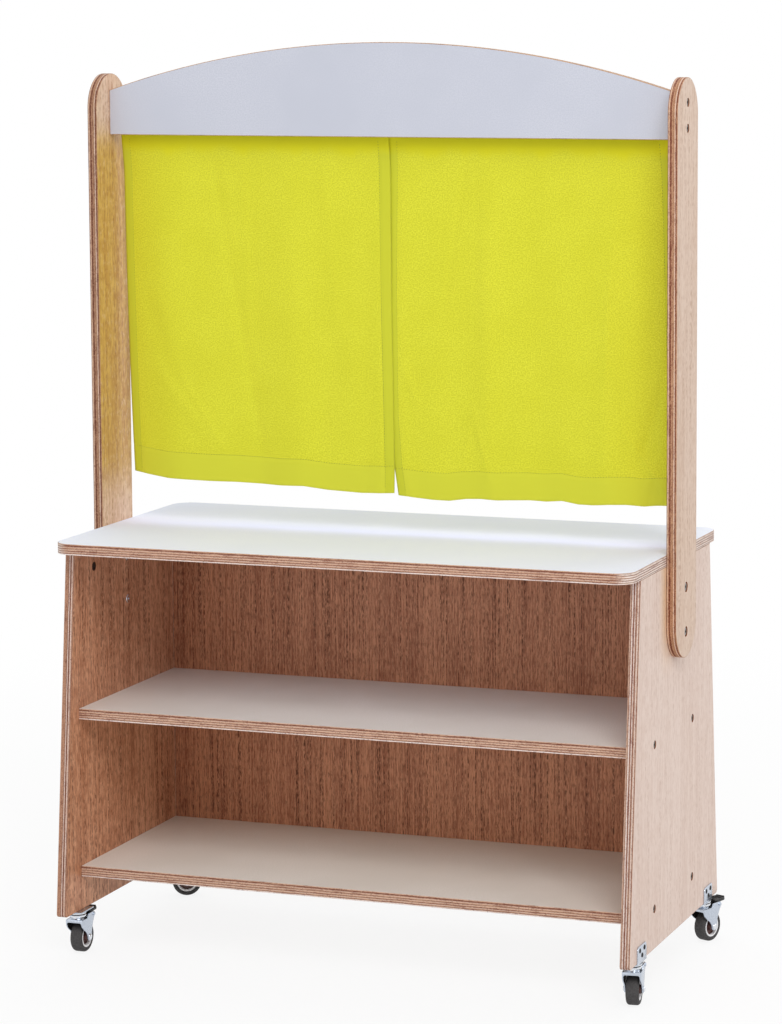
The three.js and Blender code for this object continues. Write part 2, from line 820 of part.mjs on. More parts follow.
// The brake pedal: a plate above the fork's ears, a boss round the pin and a shoe below it
function pedal() {
  const plateTop = flangeZ - pedalTopDrop;
  const edgeOn = roundedOutline([
    [pedalInnerEnd, plateTop - pedalThickness, pedalLip],
    [pedalOuterEnd - pedalThickness, plateTop - pedalThickness, pedalLip],
    [pedalOuterEnd, plateTop - pedalThickness / 2, pedalLip],
    [pedalOuterEnd, plateTop + pedalLip, pedalLip / 2],
    [pedalOuterEnd - pedalThickness, plateTop, pedalLip / 2],
    [pedalInnerEnd, plateTop, pedalLip],
  ]);
  const plan = roundedOutline([
    [-pedalWidth / 2, pedalInnerEnd - overrun, 0],
    [pedalWidth / 2, pedalInnerEnd - overrun, 0],
    [pedalWidth / 2, pedalOuterEnd, pedalCornerRadius],
    [-pedalWidth / 2, pedalOuterEnd, pedalCornerRadius],
  ]);
  const plate = common(
    extrudeX(edgeOn, -pedalWidth / 2 - overrun, pedalWidth + 2 * overrun),
    extrudeZ(plan, plateTop - pedalThickness - overrun, pedalThickness + pedalLip + 2 * overrun),
  );
  const boss = roundX(pedalBossRadius, -pedalBossWidth / 2, pedalBossWidth / 2);
  boss.translate(0, pedalPivotOut, pedalPivotZ);
  const stem = block(
    -pedalBossWidth / 2,
    pedalPivotOut + shoeShift - shoeWidth / 2,
    pedalPivotZ - shoeReach,
    pedalBossWidth,
    shoeWidth,
    shoeReach + plateTop - pedalThickness / 2 - pedalPivotZ,
  );
  const bore = roundX(
    pedalPivotRadius + fitGap,
    -pedalBossWidth / 2 - overrun,
    pedalBossWidth / 2 + overrun,
  );
  bore.translate(0, pedalPivotOut, pedalPivotZ);
  return cut(join(plate, boss, stem), bore);
}

// One caster under a corner: the bracket stands square, the rest turns to its heading
function addCaster(name, side, end, heading) {
  const corner = new THREE.Group();
  corner.position.set(side * casterX, end * casterY, 0);
  stand.add(corner);
  place(`${name}_caster_bracket`, casterBracket(side, end), zinc, corner);
  const swivel = new THREE.Group();
  swivel.rotation.z = -THREE.MathUtils.degToRad(heading);
  corner.add(swivel);
  place(`${name}_caster_fork`, fork(), steel, swivel);
  place(`${name}_caster_axle`, axle(), steel, swivel, 0, casterTrail, wheelRadius);
  place(`${name}_caster_hub`, hub(), palePlastic, swivel, 0, casterTrail, wheelRadius);
  place(`${name}_caster_tyre`, tyre(), rubber, swivel, 0, casterTrail, wheelRadius);
  place(`${name}_caster_pedal`, pedal(), blackPlastic, swivel);
}

// Cupboard
for (const { name, side } of sides) place(`${name}_side_panel`, sidePanel(side), plywood);
place('worktop', worktop(), laminate);
place('middle_shelf', shelf(middleShelfZ), laminate);
place('lower_shelf', shelf(lowerShelfZ), laminate);
place('back_panel', backPanel(), plywood);

// Stage
for (const { name, side } of sides) place(`${name}_post`, post(side), plywood);
place('header_board', headerBoard(), paintedBoard);
place('curtain_rod', curtainRod(), steel, stand, 0, rodSetback, rodZ);
const partingHalf = curtainPartingGap / 2;
const curtainOuterX = panelOuterX - curtainPostGap;
place(
  'left_curtain',
  curtain(
    curtainPartingX - partingHalf,
    -curtainOuterX,
    leftInnerLength,
    leftOuterLength,
    leftHemDraw,
    leftFoldShares,
  ),
  cloth,
  stand,
  0,
  rodSetback,
  rodZ,
);
place(
  'right_curtain',
  curtain(
    curtainPartingX + partingHalf,
    curtainOuterX,
    rightInnerLength,
    rightOuterLength,
    rightHemDraw,
    rightFoldShares,
  ),
  cloth,
  stand,
  0,
  rodSetback,
  rodZ,
);

// Fasteners
const levelNames = ['lower', 'upper'];
const endNames = ['front', 'back'];
const boltLength = postThickness + panelThickness - screwSink - nutLength + boltEngagement;
for (const { name, side } of sides) {
  headerScrewHeights.forEach((z, i) => {
    const screw = socketScrew(side, postOuterX, screwLength);
    place(`${name}_header_screw_${levelNames[i]}`, screw, steel, stand, 0, 0, z);
  });
  boltHeights.forEach((z, i) => {
    const bolt = socketScrew(side, postOuterX, boltLength, boltShankRadius, boltHeadRadius);
    place(`${name}_post_bolt_${levelNames[i]}`, bolt, steel, stand, 0, 0, z);
    place(`${name}_post_nut_${levelNames[i]}`, sleeveNut(side), steel, stand, 0, 0, z);
  });
  for (const level of shelfMiddles) {
    shelfScrewYs.forEach((y, i) => {
      const screw = socketScrew(side, panelOuterX, screwLength);
      place(`${name}_${level.name}_shelf_screw_${endNames[i]}`, screw, steel, stand, 0, y, level.z);
    });
  }
  camYs.forEach((y, i) => {
    place(`${name}_cam_lock_${endNames[i]}`, camLock(side), zinc, stand, 0, y, camZ);
  });
}

// Casters
addCaster('front_left', -1, -1, frontLeftHeading);
addCaster('front_right', 1, -1, frontRightHeading);
addCaster('back_left', -1, 1, backLeftHeading);
addCaster('back_right', 1, 1, backRightHeading);

export default stand;
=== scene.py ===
"""Looks of the puppet theater stand. Metres, in the frame of the CAD model: +Z up, X to the right
and Y to the back, seen from the front, with the origin on the floor below the middle."""

import math

import bmesh
import bpy
import numpy as np
from mathutils import Matrix, Vector


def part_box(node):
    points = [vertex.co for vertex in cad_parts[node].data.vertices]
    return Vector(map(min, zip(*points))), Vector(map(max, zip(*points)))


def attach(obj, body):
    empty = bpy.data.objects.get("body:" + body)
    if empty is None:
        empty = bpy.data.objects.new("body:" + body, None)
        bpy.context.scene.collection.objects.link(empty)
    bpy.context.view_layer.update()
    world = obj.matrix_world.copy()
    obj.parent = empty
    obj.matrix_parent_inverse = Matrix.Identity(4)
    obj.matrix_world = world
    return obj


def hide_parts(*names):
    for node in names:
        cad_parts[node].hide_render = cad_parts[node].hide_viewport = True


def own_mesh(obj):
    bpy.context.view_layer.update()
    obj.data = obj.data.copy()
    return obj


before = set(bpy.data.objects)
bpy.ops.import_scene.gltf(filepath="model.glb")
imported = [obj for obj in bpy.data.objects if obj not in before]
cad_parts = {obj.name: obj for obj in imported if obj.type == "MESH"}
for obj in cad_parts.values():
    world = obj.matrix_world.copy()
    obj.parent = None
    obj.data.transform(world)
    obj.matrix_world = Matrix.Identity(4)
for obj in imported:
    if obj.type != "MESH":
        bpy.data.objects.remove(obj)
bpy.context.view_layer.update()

# Sizes that the solids give, read from the loaded frame
PANEL_LOW, PANEL_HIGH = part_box("right_side_panel")
TOP_LOW, TOP_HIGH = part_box("worktop")
HEADER_LOW, HEADER_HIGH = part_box("header_board")
ROD_LOW, ROD_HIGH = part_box("curtain_rod")
INNER_X, OUTER_X = PANEL_LOW[0], PANEL_HIGH[0]
POST_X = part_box("right_post")[1][0]
ROD_Y, ROD_Z = ((low + high) / 2 for low, high in zip(ROD_LOW[1:], ROD_HIGH[1:]))

SIDES = (("left", -1), ("right", 1))
LEVELS = ("lower", "upper")
SHELVES = ("lower", "middle")
ENDS = ("front", "back")
SHARP_ANGLE = math.radians(35)

# Camera, at the photograph's place: azimuth, elevation and roll in degrees
CAMERA_ANGLES = (19.198, 6.469, -0.14)
CAMERA_PLACE = (1.9461, -5.03665, 1.5126)
SENSOR_WIDTH, LENS_LENGTH = 36, 118.456
LENS_SHIFT = -0.10742


def put(name, data):
    """A new object in the scene's collection"""
    made = bpy.data.objects.new(name, data)
    bpy.context.scene.collection.objects.link(made)
    return made


def make_camera():
    azimuth, elevation, roll = (math.radians(angle) for angle in CAMERA_ANGLES)
    data = bpy.data.cameras.new("camera")
    camera = put("camera", data)
    camera.matrix_world = (
        Matrix.Translation(CAMERA_PLACE) @ Matrix.Rotation(azimuth, 4, "Z")
        @ Matrix.Rotation(math.pi / 2 - elevation, 4, "X") @ Matrix.Rotation(roll, 4, "Z")
    )
    data.sensor_width = SENSOR_WIDTH
    data.lens = LENS_LENGTH
    data.shift_x = LENS_SHIFT
    data.shift_y = LENS_SHIFT
    bpy.context.scene.camera = camera


# Node graphs of the materials and the world
def colour(tone):
    """A display colour of 0 to 255 a channel as linear values"""
    def channel(value):
        share = value / 255
        return share / 12.92 if share <= 0.04045 else ((share + 0.055) / 1.055) ** 2.4
    return (*(channel(value) for value in tone), 1)


class Nodes:
    """Short calls that make the nodes of one tree"""

    def __init__(self, tree):
        self.tree = tree

    def feed(self, socket, value):
        if isinstance(value, bpy.types.NodeSocket):
            self.tree.links.new(value, socket)
        else:
            socket.default_value = value

    def node(self, kind, inputs=(), **properties):
        """A node with its properties and, in their order, the values or links of its inputs"""
        made = self.tree.nodes.new(kind)
        for name, value in properties.items():
            setattr(made, name, value)
        for socket, value in zip(made.inputs, inputs):
            self.feed(socket, value)
        return made

    def attribute(self, name):
        return self.node("ShaderNodeAttribute", attribute_name=name).outputs["Vector"]

    def split(self, vector):
        return self.node("ShaderNodeSeparateXYZ", (vector,)).outputs

    def join(self, *values):
        return self.node("ShaderNodeCombineXYZ", values).outputs[0]

    def math(self, operation, *values, clamp=False):
        return self.node("ShaderNodeMath", values, operation=operation, use_clamp=clamp).outputs[0]

    def times(self, first, second):
        return self.math("MULTIPLY", first, second)

    def larger(self, first, second):
        return self.math("MAXIMUM", first, second)

    def noise(self, vector, scale=1.0, detail=3.0, roughness=0.5):
        made = self.node("ShaderNodeTexNoise")
        named = {"Vector": vector, "Scale": scale, "Detail": detail, "Roughness": roughness}
        for name, value in named.items():
            self.feed(made.inputs[name], value)
        return made.outputs["Fac"]

    def stretched(self, vector, scales, detail=3.0, roughness=0.5):
        """Noise with a scale of its own along each axis"""
        product = self.node("ShaderNodeVectorMath", (vector, scales), operation="MULTIPLY")
        return self.noise(product.outputs[0], 1, detail, roughness)

    def range(self, *values):
        """A value between a low and a high one, made 0 to 1 or whatever the last two values say"""
        return self.node("ShaderNodeMapRange", values, interpolation_type="SMOOTHSTEP").outputs[0]

    def mix(self, share, first, second):
        made = self.node("ShaderNodeMix", data_type="RGBA")
        self.feed(made.inputs["Factor"], share)
        colours = [socket for socket in made.inputs if socket.type == "RGBA"]
        for socket, value in zip(colours, (first, second)):
            self.feed(socket, value)
        return [socket for socket in made.outputs if socket.type == "RGBA"][0]

    def ramp(self, value, stops):
        made = self.node("ShaderNodeValToRGB", (value,))
        elements = made.color_ramp.elements
        elements[0].position, elements[0].color = stops[0]
        elements[1].position, elements[1].color = stops[-1]
        for position, tone in stops[1:-1]:
            elements.new(position).color = tone
        return made.outputs["Color"]

    def seen_directly(self):
        """1 where the camera, a mirroring or a clear surface looks, 0 where light is gathered"""
        path = self.node("ShaderNodeLightPath").outputs
        mirrored = self.larger(path["Is Glossy Ray"], path["Is Transmission Ray"])
        return self.larger(path["Is Camera Ray"], mirrored)


class Surface(Nodes):
    """A material and its shader"""

    def __init__(self, name, base=None, roughness=0.5, **sockets):
        self.material = bpy.data.materials.new(name)
        self.material.use_nodes = True
        super().__init__(self.material.node_tree)
        self.shader = self.tree.nodes["Principled BSDF"]
        if base is not None:
            self.set("Base Color", base)
        self.set("Roughness", roughness)
        for socket, value in sockets.items():
            self.set(socket.replace("_", " "), value)

    def set(self, socket, value):
        self.feed(self.shader.inputs[socket], value)

    def bump(self, height, distance, strength):
        made = self.node("ShaderNodeBump")
        for name, value in (("Strength", strength), ("Distance", distance), ("Height", height)):
            self.feed(made.inputs[name], value)
        self.set("Normal", made.outputs[0])

    def mix_in(self, share, other):
        """Lets another shader take a share of this one"""
        both = self.node("ShaderNodeMixShader", (share, self.shader.outputs[0], other.outputs[0]))
        self.feed(self.tree.nodes["Material Output"].inputs["Surface"], both.outputs[0])


# Heights between which the posts' inner faces carry painted warm yellow light, beside the curtains,
# standing for the light the curtains throw on them
CURTAIN_LIGHT_START, CURTAIN_LIGHT_END = (0.7, 0.8), (1.29, 1.36)
# The place on the right side panel, before the post, where a warm glow of light bounced off the post's
# edge is painted, in places of the shifted grain: its start and end across, and its foot
BOUNCE_START, BOUNCE_END, BOUNCE_FOOT = (0.8, 0.844), (0.86, 0.9), (0.48, 0.6)


def veneer(name, light, dark, pore, contrast, narrow=1.0, painted_curtain_light=None, painted_bounce=None):
    """Wood veneer, its grain along the second value of the grain attribute"""
    light, dark, pore = (colour(tone) for tone in (light, dark, pore))
    graph = Surface(name, roughness=0.5, Specular_IOR_Level=0.35)
    place = graph.attribute("grain")

    def grain(across_scale, along_scale, detail, roughness=0.6):
        return graph.stretched(place, (across_scale * narrow, along_scale, 0), detail, roughness)

    bands, lines, hairs = grain(30, 0.8, 3), grain(240, 4, 3, 0.65), grain(450, 45, 3)
    columns, dashes = grain(380, 2.5, 3), grain(450, 120, 2, 0.5)
    fine, flecks_and_glints = grain(520, 90, 2), grain(420, 80, 2)
    share = graph.math("MULTIPLY_ADD", bands, 0.25, graph.times(lines, 0.3))
    share = graph.math("MULTIPLY_ADD", hairs, 0.45, share)
    face = graph.mix(graph.range(share, 0.4, 0.6), light, dark)
    # Painted light: a warm yellow band on the posts' inner faces, for the curtains' light falling on them
    if painted_curtain_light:
        height = graph.split(place)[1]
        zone = graph.times(graph.range(height, *CURTAIN_LIGHT_START), graph.range(height, *CURTAIN_LIGHT_END, 1, 0))
        tones = (colour(tone) for tone in painted_curtain_light)
        face = graph.mix(zone, face, graph.mix(graph.range(share, 0.41, 0.59), *tones))
    # Painted light: a warm glow on the side panel beside the post's edge
    if painted_bounce:
        across, height, _ = graph.split(place)
        zone = graph.times(graph.range(across, *BOUNCE_START), graph.range(height, *BOUNCE_FOOT))
        zone = graph.times(zone, graph.range(across, *BOUNCE_END, 0.8, 0))
        face = graph.mix(zone, face, colour(painted_bounce))
    # Light flecks: partly pale grain and partly painted glints of the pores
    face = graph.mix(graph.range(flecks_and_glints, 0.54, 0.68, 0, contrast * 0.7), face, light)
    broken = graph.times(graph.range(columns, 0.5, 0.62), graph.range(dashes, 0.4, 0.6))
    mask = graph.times(graph.larger(broken, graph.range(fine, 0.52, 0.68, 0, 0.6)), contrast)
    graph.set("Base Color", graph.mix(mask, face, pore))
    graph.set("Roughness", graph.range(mask, 0, 1, 0.48, 0.75))
    graph.bump(graph.math("SUBTRACT", hairs, mask), 0.00015, 0.5)
    return graph.material


# The layers of the sawn edges: each place through the thickness and its tone, from -1 for the
# palest glue line through 0 for the light layers to 1 for the darkest ones
POST_LAYER_SHARES = (
    (0.0, 0.9), (0.05, 0.8), (0.09, 0.1), (0.14, -0.5), (0.19, 0.0), (0.26, 0.8), (0.31, 1.0),
    (0.4, 0.9), (0.45, 0.2), (0.52, 0.35), (0.58, 0.6), (0.65, 0.3), (0.7, 0.0), (0.75, -0.7),
    (0.79, 0.2), (0.84, 1.0), (0.92, 0.9), (0.96, 0.1), (1.0, 0.3),
)
PANEL_LAYER_SHARES = (
    (0.0, 0.3), (0.1, 0.1), (0.2, 0.35), (0.3, 0.2), (0.38, 0.3), (0.41, 0.9), (0.45, 0.4),
    (0.51, -0.7), (0.56, -0.2), (0.6, 0.9), (0.67, 1.0), (0.71, 0.2), (0.77, -0.6), (0.83, -0.3),
    (0.91, 0.3), (0.95, 0.6), (1.0, 0.2),
)
RIGHT_PANEL_LAYER_SHARES = (
    (0.0, 0.2), (0.06, -0.2), (0.13, 0.6), (0.19, 0.5), (0.24, -0.8), (0.3, -0.6), (0.37, 0.8),
    (0.45, 1.0), (0.51, -0.7), (0.56, -0.4), (0.62, 0.7), (0.7, 0.8), (0.77, -0.3), (0.84, -0.6),
    (0.91, 0.4), (0.96, 0.7), (1.0, 0.3),
)
BOARD_LAYER_SHARES = (
    (0.0, -0.3), (0.04, -1.0), (0.1, -0.6), (0.14, 0.9), (0.18, 0.6), (0.24, 0.1), (0.29, -0.4),
    (0.34, 0.6), (0.39, 0.8), (0.45, 0.0), (0.51, -0.3), (0.56, 0.6), (0.61, 0.7), (0.67, 0.0),
    (0.72, -0.3), (0.78, 0.5), (0.84, 1.0), (0.9, 0.8), (0.94, 0.0), (1.0, -0.4),
)
END_LAYER_SHARES = (
    (0.0, -0.4), (0.08, -0.6), (0.11, 1.0), (0.15, 0.6), (0.18, -0.5), (0.26, -0.8), (0.3, 0.8),
    (0.34, 1.0), (0.38, -0.4), (0.47, -0.8), (0.51, 0.8), (0.55, 1.0), (0.59, -0.4), (0.68, -0.8),
    (0.72, 0.8), (0.76, 1.0), (0.8, -0.4), (0.9, -0.6), (0.95, 0.6), (1.0, 0.4),
)
# Where along the worktop the layers of its ends begin, and over which length they come in
END_START, END_FADE = 0.455, 0.022
GLUE_LINE, END_LIGHT, DARK_DOT = (244, 234, 230), (240, 222, 204), (92, 42, 26)


def layer_stops(layer_shares, light, dark):
    """The stops of a ramp from the light tone to the dark one or to the glue lines"""
    stops = []
    for spot, share in layer_shares:
        target = dark if share > 0 else colour(GLUE_LINE)
        stops.append((spot, tuple(a + (b - a) * abs(share) for a, b in zip(light, target))))
    return stops


def ply_edge(name, light, dark, layer_shares, end_layer_shares=None):
    """The sawn edge of plywood: layers across the third value of the grain attribute"""
    light, dark = colour(light), colour(dark)
    graph = Surface(name, roughness=0.65, Specular_IOR_Level=0.3)
    place = graph.attribute("grain")
    along, up, depth = graph.split(place)
    wobble = graph.stretched(place, (26, 26, 1.2))
    level = graph.math("MULTIPLY_ADD", wobble, 0.06, graph.math("ADD", depth, -0.03), clamp=True)
    base = graph.ramp(level, layer_stops(layer_shares, light, dark))
    if end_layer_shares:
        distance = graph.math("ABSOLUTE", along)
        at_end = graph.range(distance, END_START, END_START + END_FADE, 0, 0.95)
        ends = graph.ramp(level, layer_stops(end_layer_shares, colour(END_LIGHT), dark))
        base = graph.mix(at_end, base, ends)
    layer = graph.math("ROUND", graph.times(level, 9.0))
    spot = graph.join(graph.times(along, 30.0), graph.times(up, 30.0), graph.times(layer, 3.7))
    patches = graph.noise(spot, 1, 3, 0.6)
    dots = graph.stretched(place, (430, 430, 12), 3, 0.6)
    for value, limits, tone in (
        (patches, (0.52, 0.68, 0, 0.5), dark), (patches, (0.32, 0.46, 0.4, 0), light),
        (dots, (0.53, 0.64, 0, 0.55), colour(DARK_DOT)), (dots, (0.36, 0.46, 0.5, 0), light),
    ):
        base = graph.mix(graph.range(value, *limits), base, tone)
    graph.set("Base Color", base)
    graph.bump(dots, 0.0003, 0.5)
    return graph.material


def laminate(name, base, shade, roughness, gloss=0.16):
    """A smooth faced board with a slight pebble"""
    base, shade = colour(base), colour(shade)
    graph = Surface(name, roughness=roughness, Specular_IOR_Level=gloss)
    place = graph.attribute("grain")
    cloud = graph.stretched(place, (5, 5, 5))
    pebble = graph.stretched(place, (450, 450, 0), 2)
    face = graph.mix(graph.range(cloud, 0.3, 0.7), base, shade)
    graph.set("Base Color", graph.mix(graph.range(pebble, 0.35, 0.65), face, shade))
    graph.set("Roughness", graph.range(pebble, 0.3, 0.7, roughness - 0.05, roughness + 0.07))
    graph.bump(pebble, 0.00005, 0.35)
    return graph.material


def plain(name, base, roughness, metallic=0.0, mottle=0.12, scale=260, bump=0.00004):
    """A painted, moulded or plated surface with a little unevenness"""
    base = colour(base)
    darker = (*(value * (1 - mottle) for value in base[:3]), 1)
    graph = Surface(name, roughness=roughness, Metallic=metallic)
    place = graph.node("ShaderNodeTexCoord").outputs["Object"]
    cloud = graph.noise(place, scale)
    graph.set("Base Color", graph.mix(graph.range(cloud, 0.3, 0.7), base, darker))
    graph.set("Roughness", graph.range(cloud, 0.3, 0.7, roughness * 0.85, roughness * 1.2))
    graph.bump(graph.noise(place, scale * 6, 2), bump, 0.4)
    return graph.material


# The hem at the curtains' foot, the pocket for the rod and the pitch of the weave
HEM_HEIGHT = 0.044
POCKET = 0.027
THREAD_PITCH = 0.0011


def cloth_material():
    """Thin woven cloth, denser where it lies double in a hem or in the rod's pocket, and with the header's
    painted shadow on the band below the rod
    """
    graph = Surface("cloth", roughness=0.85, Sheen_Weight=0.15, Sheen_Roughness=0.4)
    place = graph.attribute("weave")
    across, down, _ = graph.split(place)
    hems = graph.split(graph.attribute("hems"))
    inner, outer, foot = [graph.range(share, 0.975, 1.025, 1, 0) for share in hems]
    sides = graph.larger(inner, outer)
    wavy_edge = graph.stretched(place, (22, 0, 0), 2)
    # Below the rod the cloth lies double and is also darkened as the header's painted shadow, with a wavy
    # lower edge
    pocket = graph.range(graph.math("MULTIPLY_ADD", wavy_edge, -0.04, down), 0.015, 0.035, 0.9, 0)
    turn = 2 * math.pi / THREAD_PITCH
    warp, weft = (graph.math("SINE", graph.times(run, turn)) for run in (across, down))
    slubs = [graph.stretched(place, scales) for scales in ((90, 900, 0), (900, 90, 0))]
    uneven = graph.math("ADD", *slubs)
    cloud = graph.stretched(place, (14, 14, 0))
    threads = graph.stretched(place, (480, 480, 0), 3, 0.6)
    base = graph.mix(graph.range(uneven, 0.8, 1.2), colour((239, 239, 64)), colour((232, 232, 54)))
    for share, tone in (
        (graph.range(cloud, 0.35, 0.65, 0, 0.3), (224, 223, 42)),
        (graph.range(threads, 0.38, 0.62, 0, 0.8), (207, 206, 32)),
        (foot, (217, 218, 52)), (sides, (208, 210, 44)), (pocket, (228, 224, 12)),
    ):
        base = graph.mix(share, base, colour(tone))
    graph.set("Base Color", base)
    graph.bump(graph.math("MULTIPLY_ADD", graph.times(warp, weft), 0.35, uneven), 0.0001, 0.4)
    double = graph.larger(foot, sides)
    through = graph.node("ShaderNodeBsdfTranslucent", (base,))
    graph.mix_in(graph.math("MULTIPLY_ADD", double, -0.06, 0.16), through)
    return graph.material


# The outer veneer, with a painted warm glow beside the right post
OUTER_WOOD = veneer(
    "outer_veneer", (227, 206, 194), (216, 191, 177), (186, 154, 136), 0.4, 0.4, painted_bounce=(236, 196, 150)
)
POST_WOOD = veneer("post_veneer", (219, 194, 175), (205, 175, 152), (172, 132, 106), 0.5, 0.4)
# The posts' inner veneer, with painted light from the curtains beside them
POST_INSIDE = veneer(
    "post_inside_veneer", (228, 198, 172), (208, 170, 140), (160, 112, 76), 0.6, 0.4,
    painted_curtain_light=((218, 178, 108), (190, 142, 80)),
)
# The inner and back veneers are the outer plywood painted darker and redder, standing partly for the shade
# inside the stand
SHADED_INNER_WOOD = veneer("shaded_inner_veneer", (224, 168, 132), (178, 118, 84), (86, 42, 25), 0.7, 0.5)
SHADED_BACK_WOOD = veneer("shaded_back_veneer", (209, 147, 110), (161, 100, 70), (60, 28, 17), 0.8)
PANEL_EDGES = {
    "left": ply_edge("left_panel_edge", (190, 144, 116), (92, 38, 26), PANEL_LAYER_SHARES),
    "right": ply_edge("right_panel_edge", (196, 158, 132), (112, 50, 28), RIGHT_PANEL_LAYER_SHARES),
}
POST_EDGES = {
    "left": ply_edge("left_post_edge", (190, 148, 116), (92, 38, 22), POST_LAYER_SHARES),
    "right": ply_edge("right_post_edge", (202, 156, 120), (106, 42, 24), POST_LAYER_SHARES),
}
BOARD_EDGE = ply_edge(
    "board_edge", (204, 162, 134), (112, 50, 32), BOARD_LAYER_SHARES, END_LAYER_SHARES
)
SHELF_EDGE = ply_edge("shelf_edge", (206, 166, 138), (112, 50, 32), BOARD_LAYER_SHARES)
HEADER_EDGE = ply_edge("header_edge", (206, 170, 136), (104, 52, 34), PANEL_LAYER_SHARES)
BORE_WOOD = plain("bore_wood", (160, 92, 44), 0.8, mottle=0.4, scale=900, bump=0.0002)
# The worktop's white is tinted blue as painted light, offsetting the yellow-green light the curtains throw
# on it
WHITE_FACE = laminate("white_laminate", (236, 238, 253), (230, 233, 250), 0.8, 0.03)
SHELF_FACE = laminate("shelf_laminate", (240, 233, 226), (229, 221, 212), 0.5)
LILAC_FACE = laminate("lilac_laminate", (203, 205, 216), (193, 196, 208), 0.45)
CLOTH = cloth_material()
THREAD = plain("thread", (150, 152, 48), 0.8, mottle=0.2, scale=2000)
ZINC = plain("zinc_plate", (198, 206, 218), 0.26, 1.0, mottle=0.09, scale=300)
CHROME = plain("chrome_plate", (226, 229, 234), 0.14, 1.0, mottle=0.06, scale=300)
STEEL = plain("plain_steel", (140, 134, 128), 0.3, 1.0, mottle=0.16, scale=500)
SCREW_STEEL = plain("screw_steel", (108, 100, 92), 0.38, 1.0, mottle=0.25, scale=600)
# Dark steel for the bracket screws, and also the painted shade inside the forks and in the ball race
DARK_STEEL_AND_SHADE = plain("dark_steel_and_painted_shade", (44, 42, 43), 0.5, 0.6, mottle=0.25, scale=700)
BRONZE = plain("dark_cam", (58, 44, 38), 0.45, 0.6, mottle=0.3, scale=700)
RUBBER = plain("tyre_rubber", (66, 64, 64), 0.75, mottle=0.18, scale=500, bump=0.00012)
PALE_PLASTIC = plain("pale_plastic", (242, 242, 244), 0.4, mottle=0.04)
BROWN_PLASTIC = plain("brown_plastic", (88, 56, 52), 0.5, mottle=0.15)
BLACK_PLASTIC = plain("black_plastic", (27, 27, 29), 0.5, mottle=0.15, bump=0.00008)


# Meshes and outlines
def link(name, mesh, body, nodes=(), matrix=None):
    """An object that rides on a body and stands for CAD nodes"""
    piece = put(name, mesh)
    if matrix is not None:
        piece.matrix_world = matrix
    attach(piece, body)
    if nodes:
        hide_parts(*nodes)
    return piece


def shade(mesh, materials=()):
    """Materials, and soft shading up to an angle between faces"""
    for material in materials:
        mesh.materials.append(material)
    mesh.shade_smooth()
    mesh.set_sharp_from_angle(angle=SHARP_ANGLE)
    return mesh


def mesh_of(name, parts, materials):
    """One mesh from closed bmeshes, which are used up"""
    whole = bmesh.new()
    for part in parts:
        bmesh.ops.recalc_face_normals(part, faces=part.faces)
        mesh = bpy.data.meshes.new("part")
        part.to_mesh(mesh)
        part.free()
        whole.from_mesh(mesh)
        bpy.data.meshes.remove(mesh)
    mesh = bpy.data.meshes.new(name)
    whole.to_mesh(mesh)
    whole.free()
    return shade(mesh, materials)


def aim(side, x, y, z):
    """A matrix that puts a piece made along +X at a place, turned half round for the left side"""
    turn = Matrix.Identity(4) if side > 0 else Matrix.Rotation(math.pi, 4, "Z")
    return Matrix.Translation((x, y, z)) @ turn


def moved(bm, x, y, z, side=1):
    """A bmesh made round the origin, put at a place"""
    bmesh.ops.transform(bm, verts=bm.verts, matrix=aim(side, x, y, z))
    return bm


def arc(centre, radius, start, end, steps):
    """Points on an arc, its angles in degrees"""
    angles = [math.radians(start + (end - start) * i / steps) for i in range(steps + 1)]
    return [(centre[0] + radius * math.cos(a), centre[1] + radius * math.sin(a)) for a in angles]


def curve(start, control, end, steps):
    """Points on a curve that heads for its control point"""
    points = []
    for k in range(steps + 1):
        t = k / steps
        shares = ((1 - t) ** 2, 2 * t * (1 - t), t * t)
        points.append(tuple(
            sum(share * value for share, value in zip(shares, values))
            for values in zip(start, control, end)
        ))
    return points


def rounded(corners, steps=6):
    """A closed outline through corners of (x, y, radius), each rounded by a true arc"""
    points = []
    for i, (x, y, radius) in enumerate(corners):
        if radius == 0:
            points.append((x, y))
            continue
        corner = Vector((x, y))
        before = (Vector(corners[i - 1][:2]) - corner).normalized()
        after = (Vector(corners[(i + 1) % len(corners)][:2]) - corner).normalized()
        half = before.angle(after) / 2
        centre = corner + (before + after).normalized() * (radius / math.sin(half))
        first = corner + before * (radius / math.tan(half)) - centre
        last = corner + after * (radius / math.tan(half)) - centre
        turn = first.angle_signed(last)
        for k in range(steps + 1):
            points.append(tuple(centre + Matrix.Rotation(-turn * k / steps, 2) @ first))
    return points


def rectangle(low, high, radius=0.0, far_radius=None, steps=6):
    """An outline between two corners, whose far corners may have a radius of their own"""
    far = radius if far_radius is None else far_radius
    return rounded([
        (low[0], low[1], radius), (high[0], low[1], radius),
        (high[0], high[1], far), (low[0], high[1], far),
    ], steps)


OUTLINE_AXES = {"x": (1, 2, 0), "y": (0, 2, 1), "z": (0, 1, 2)}


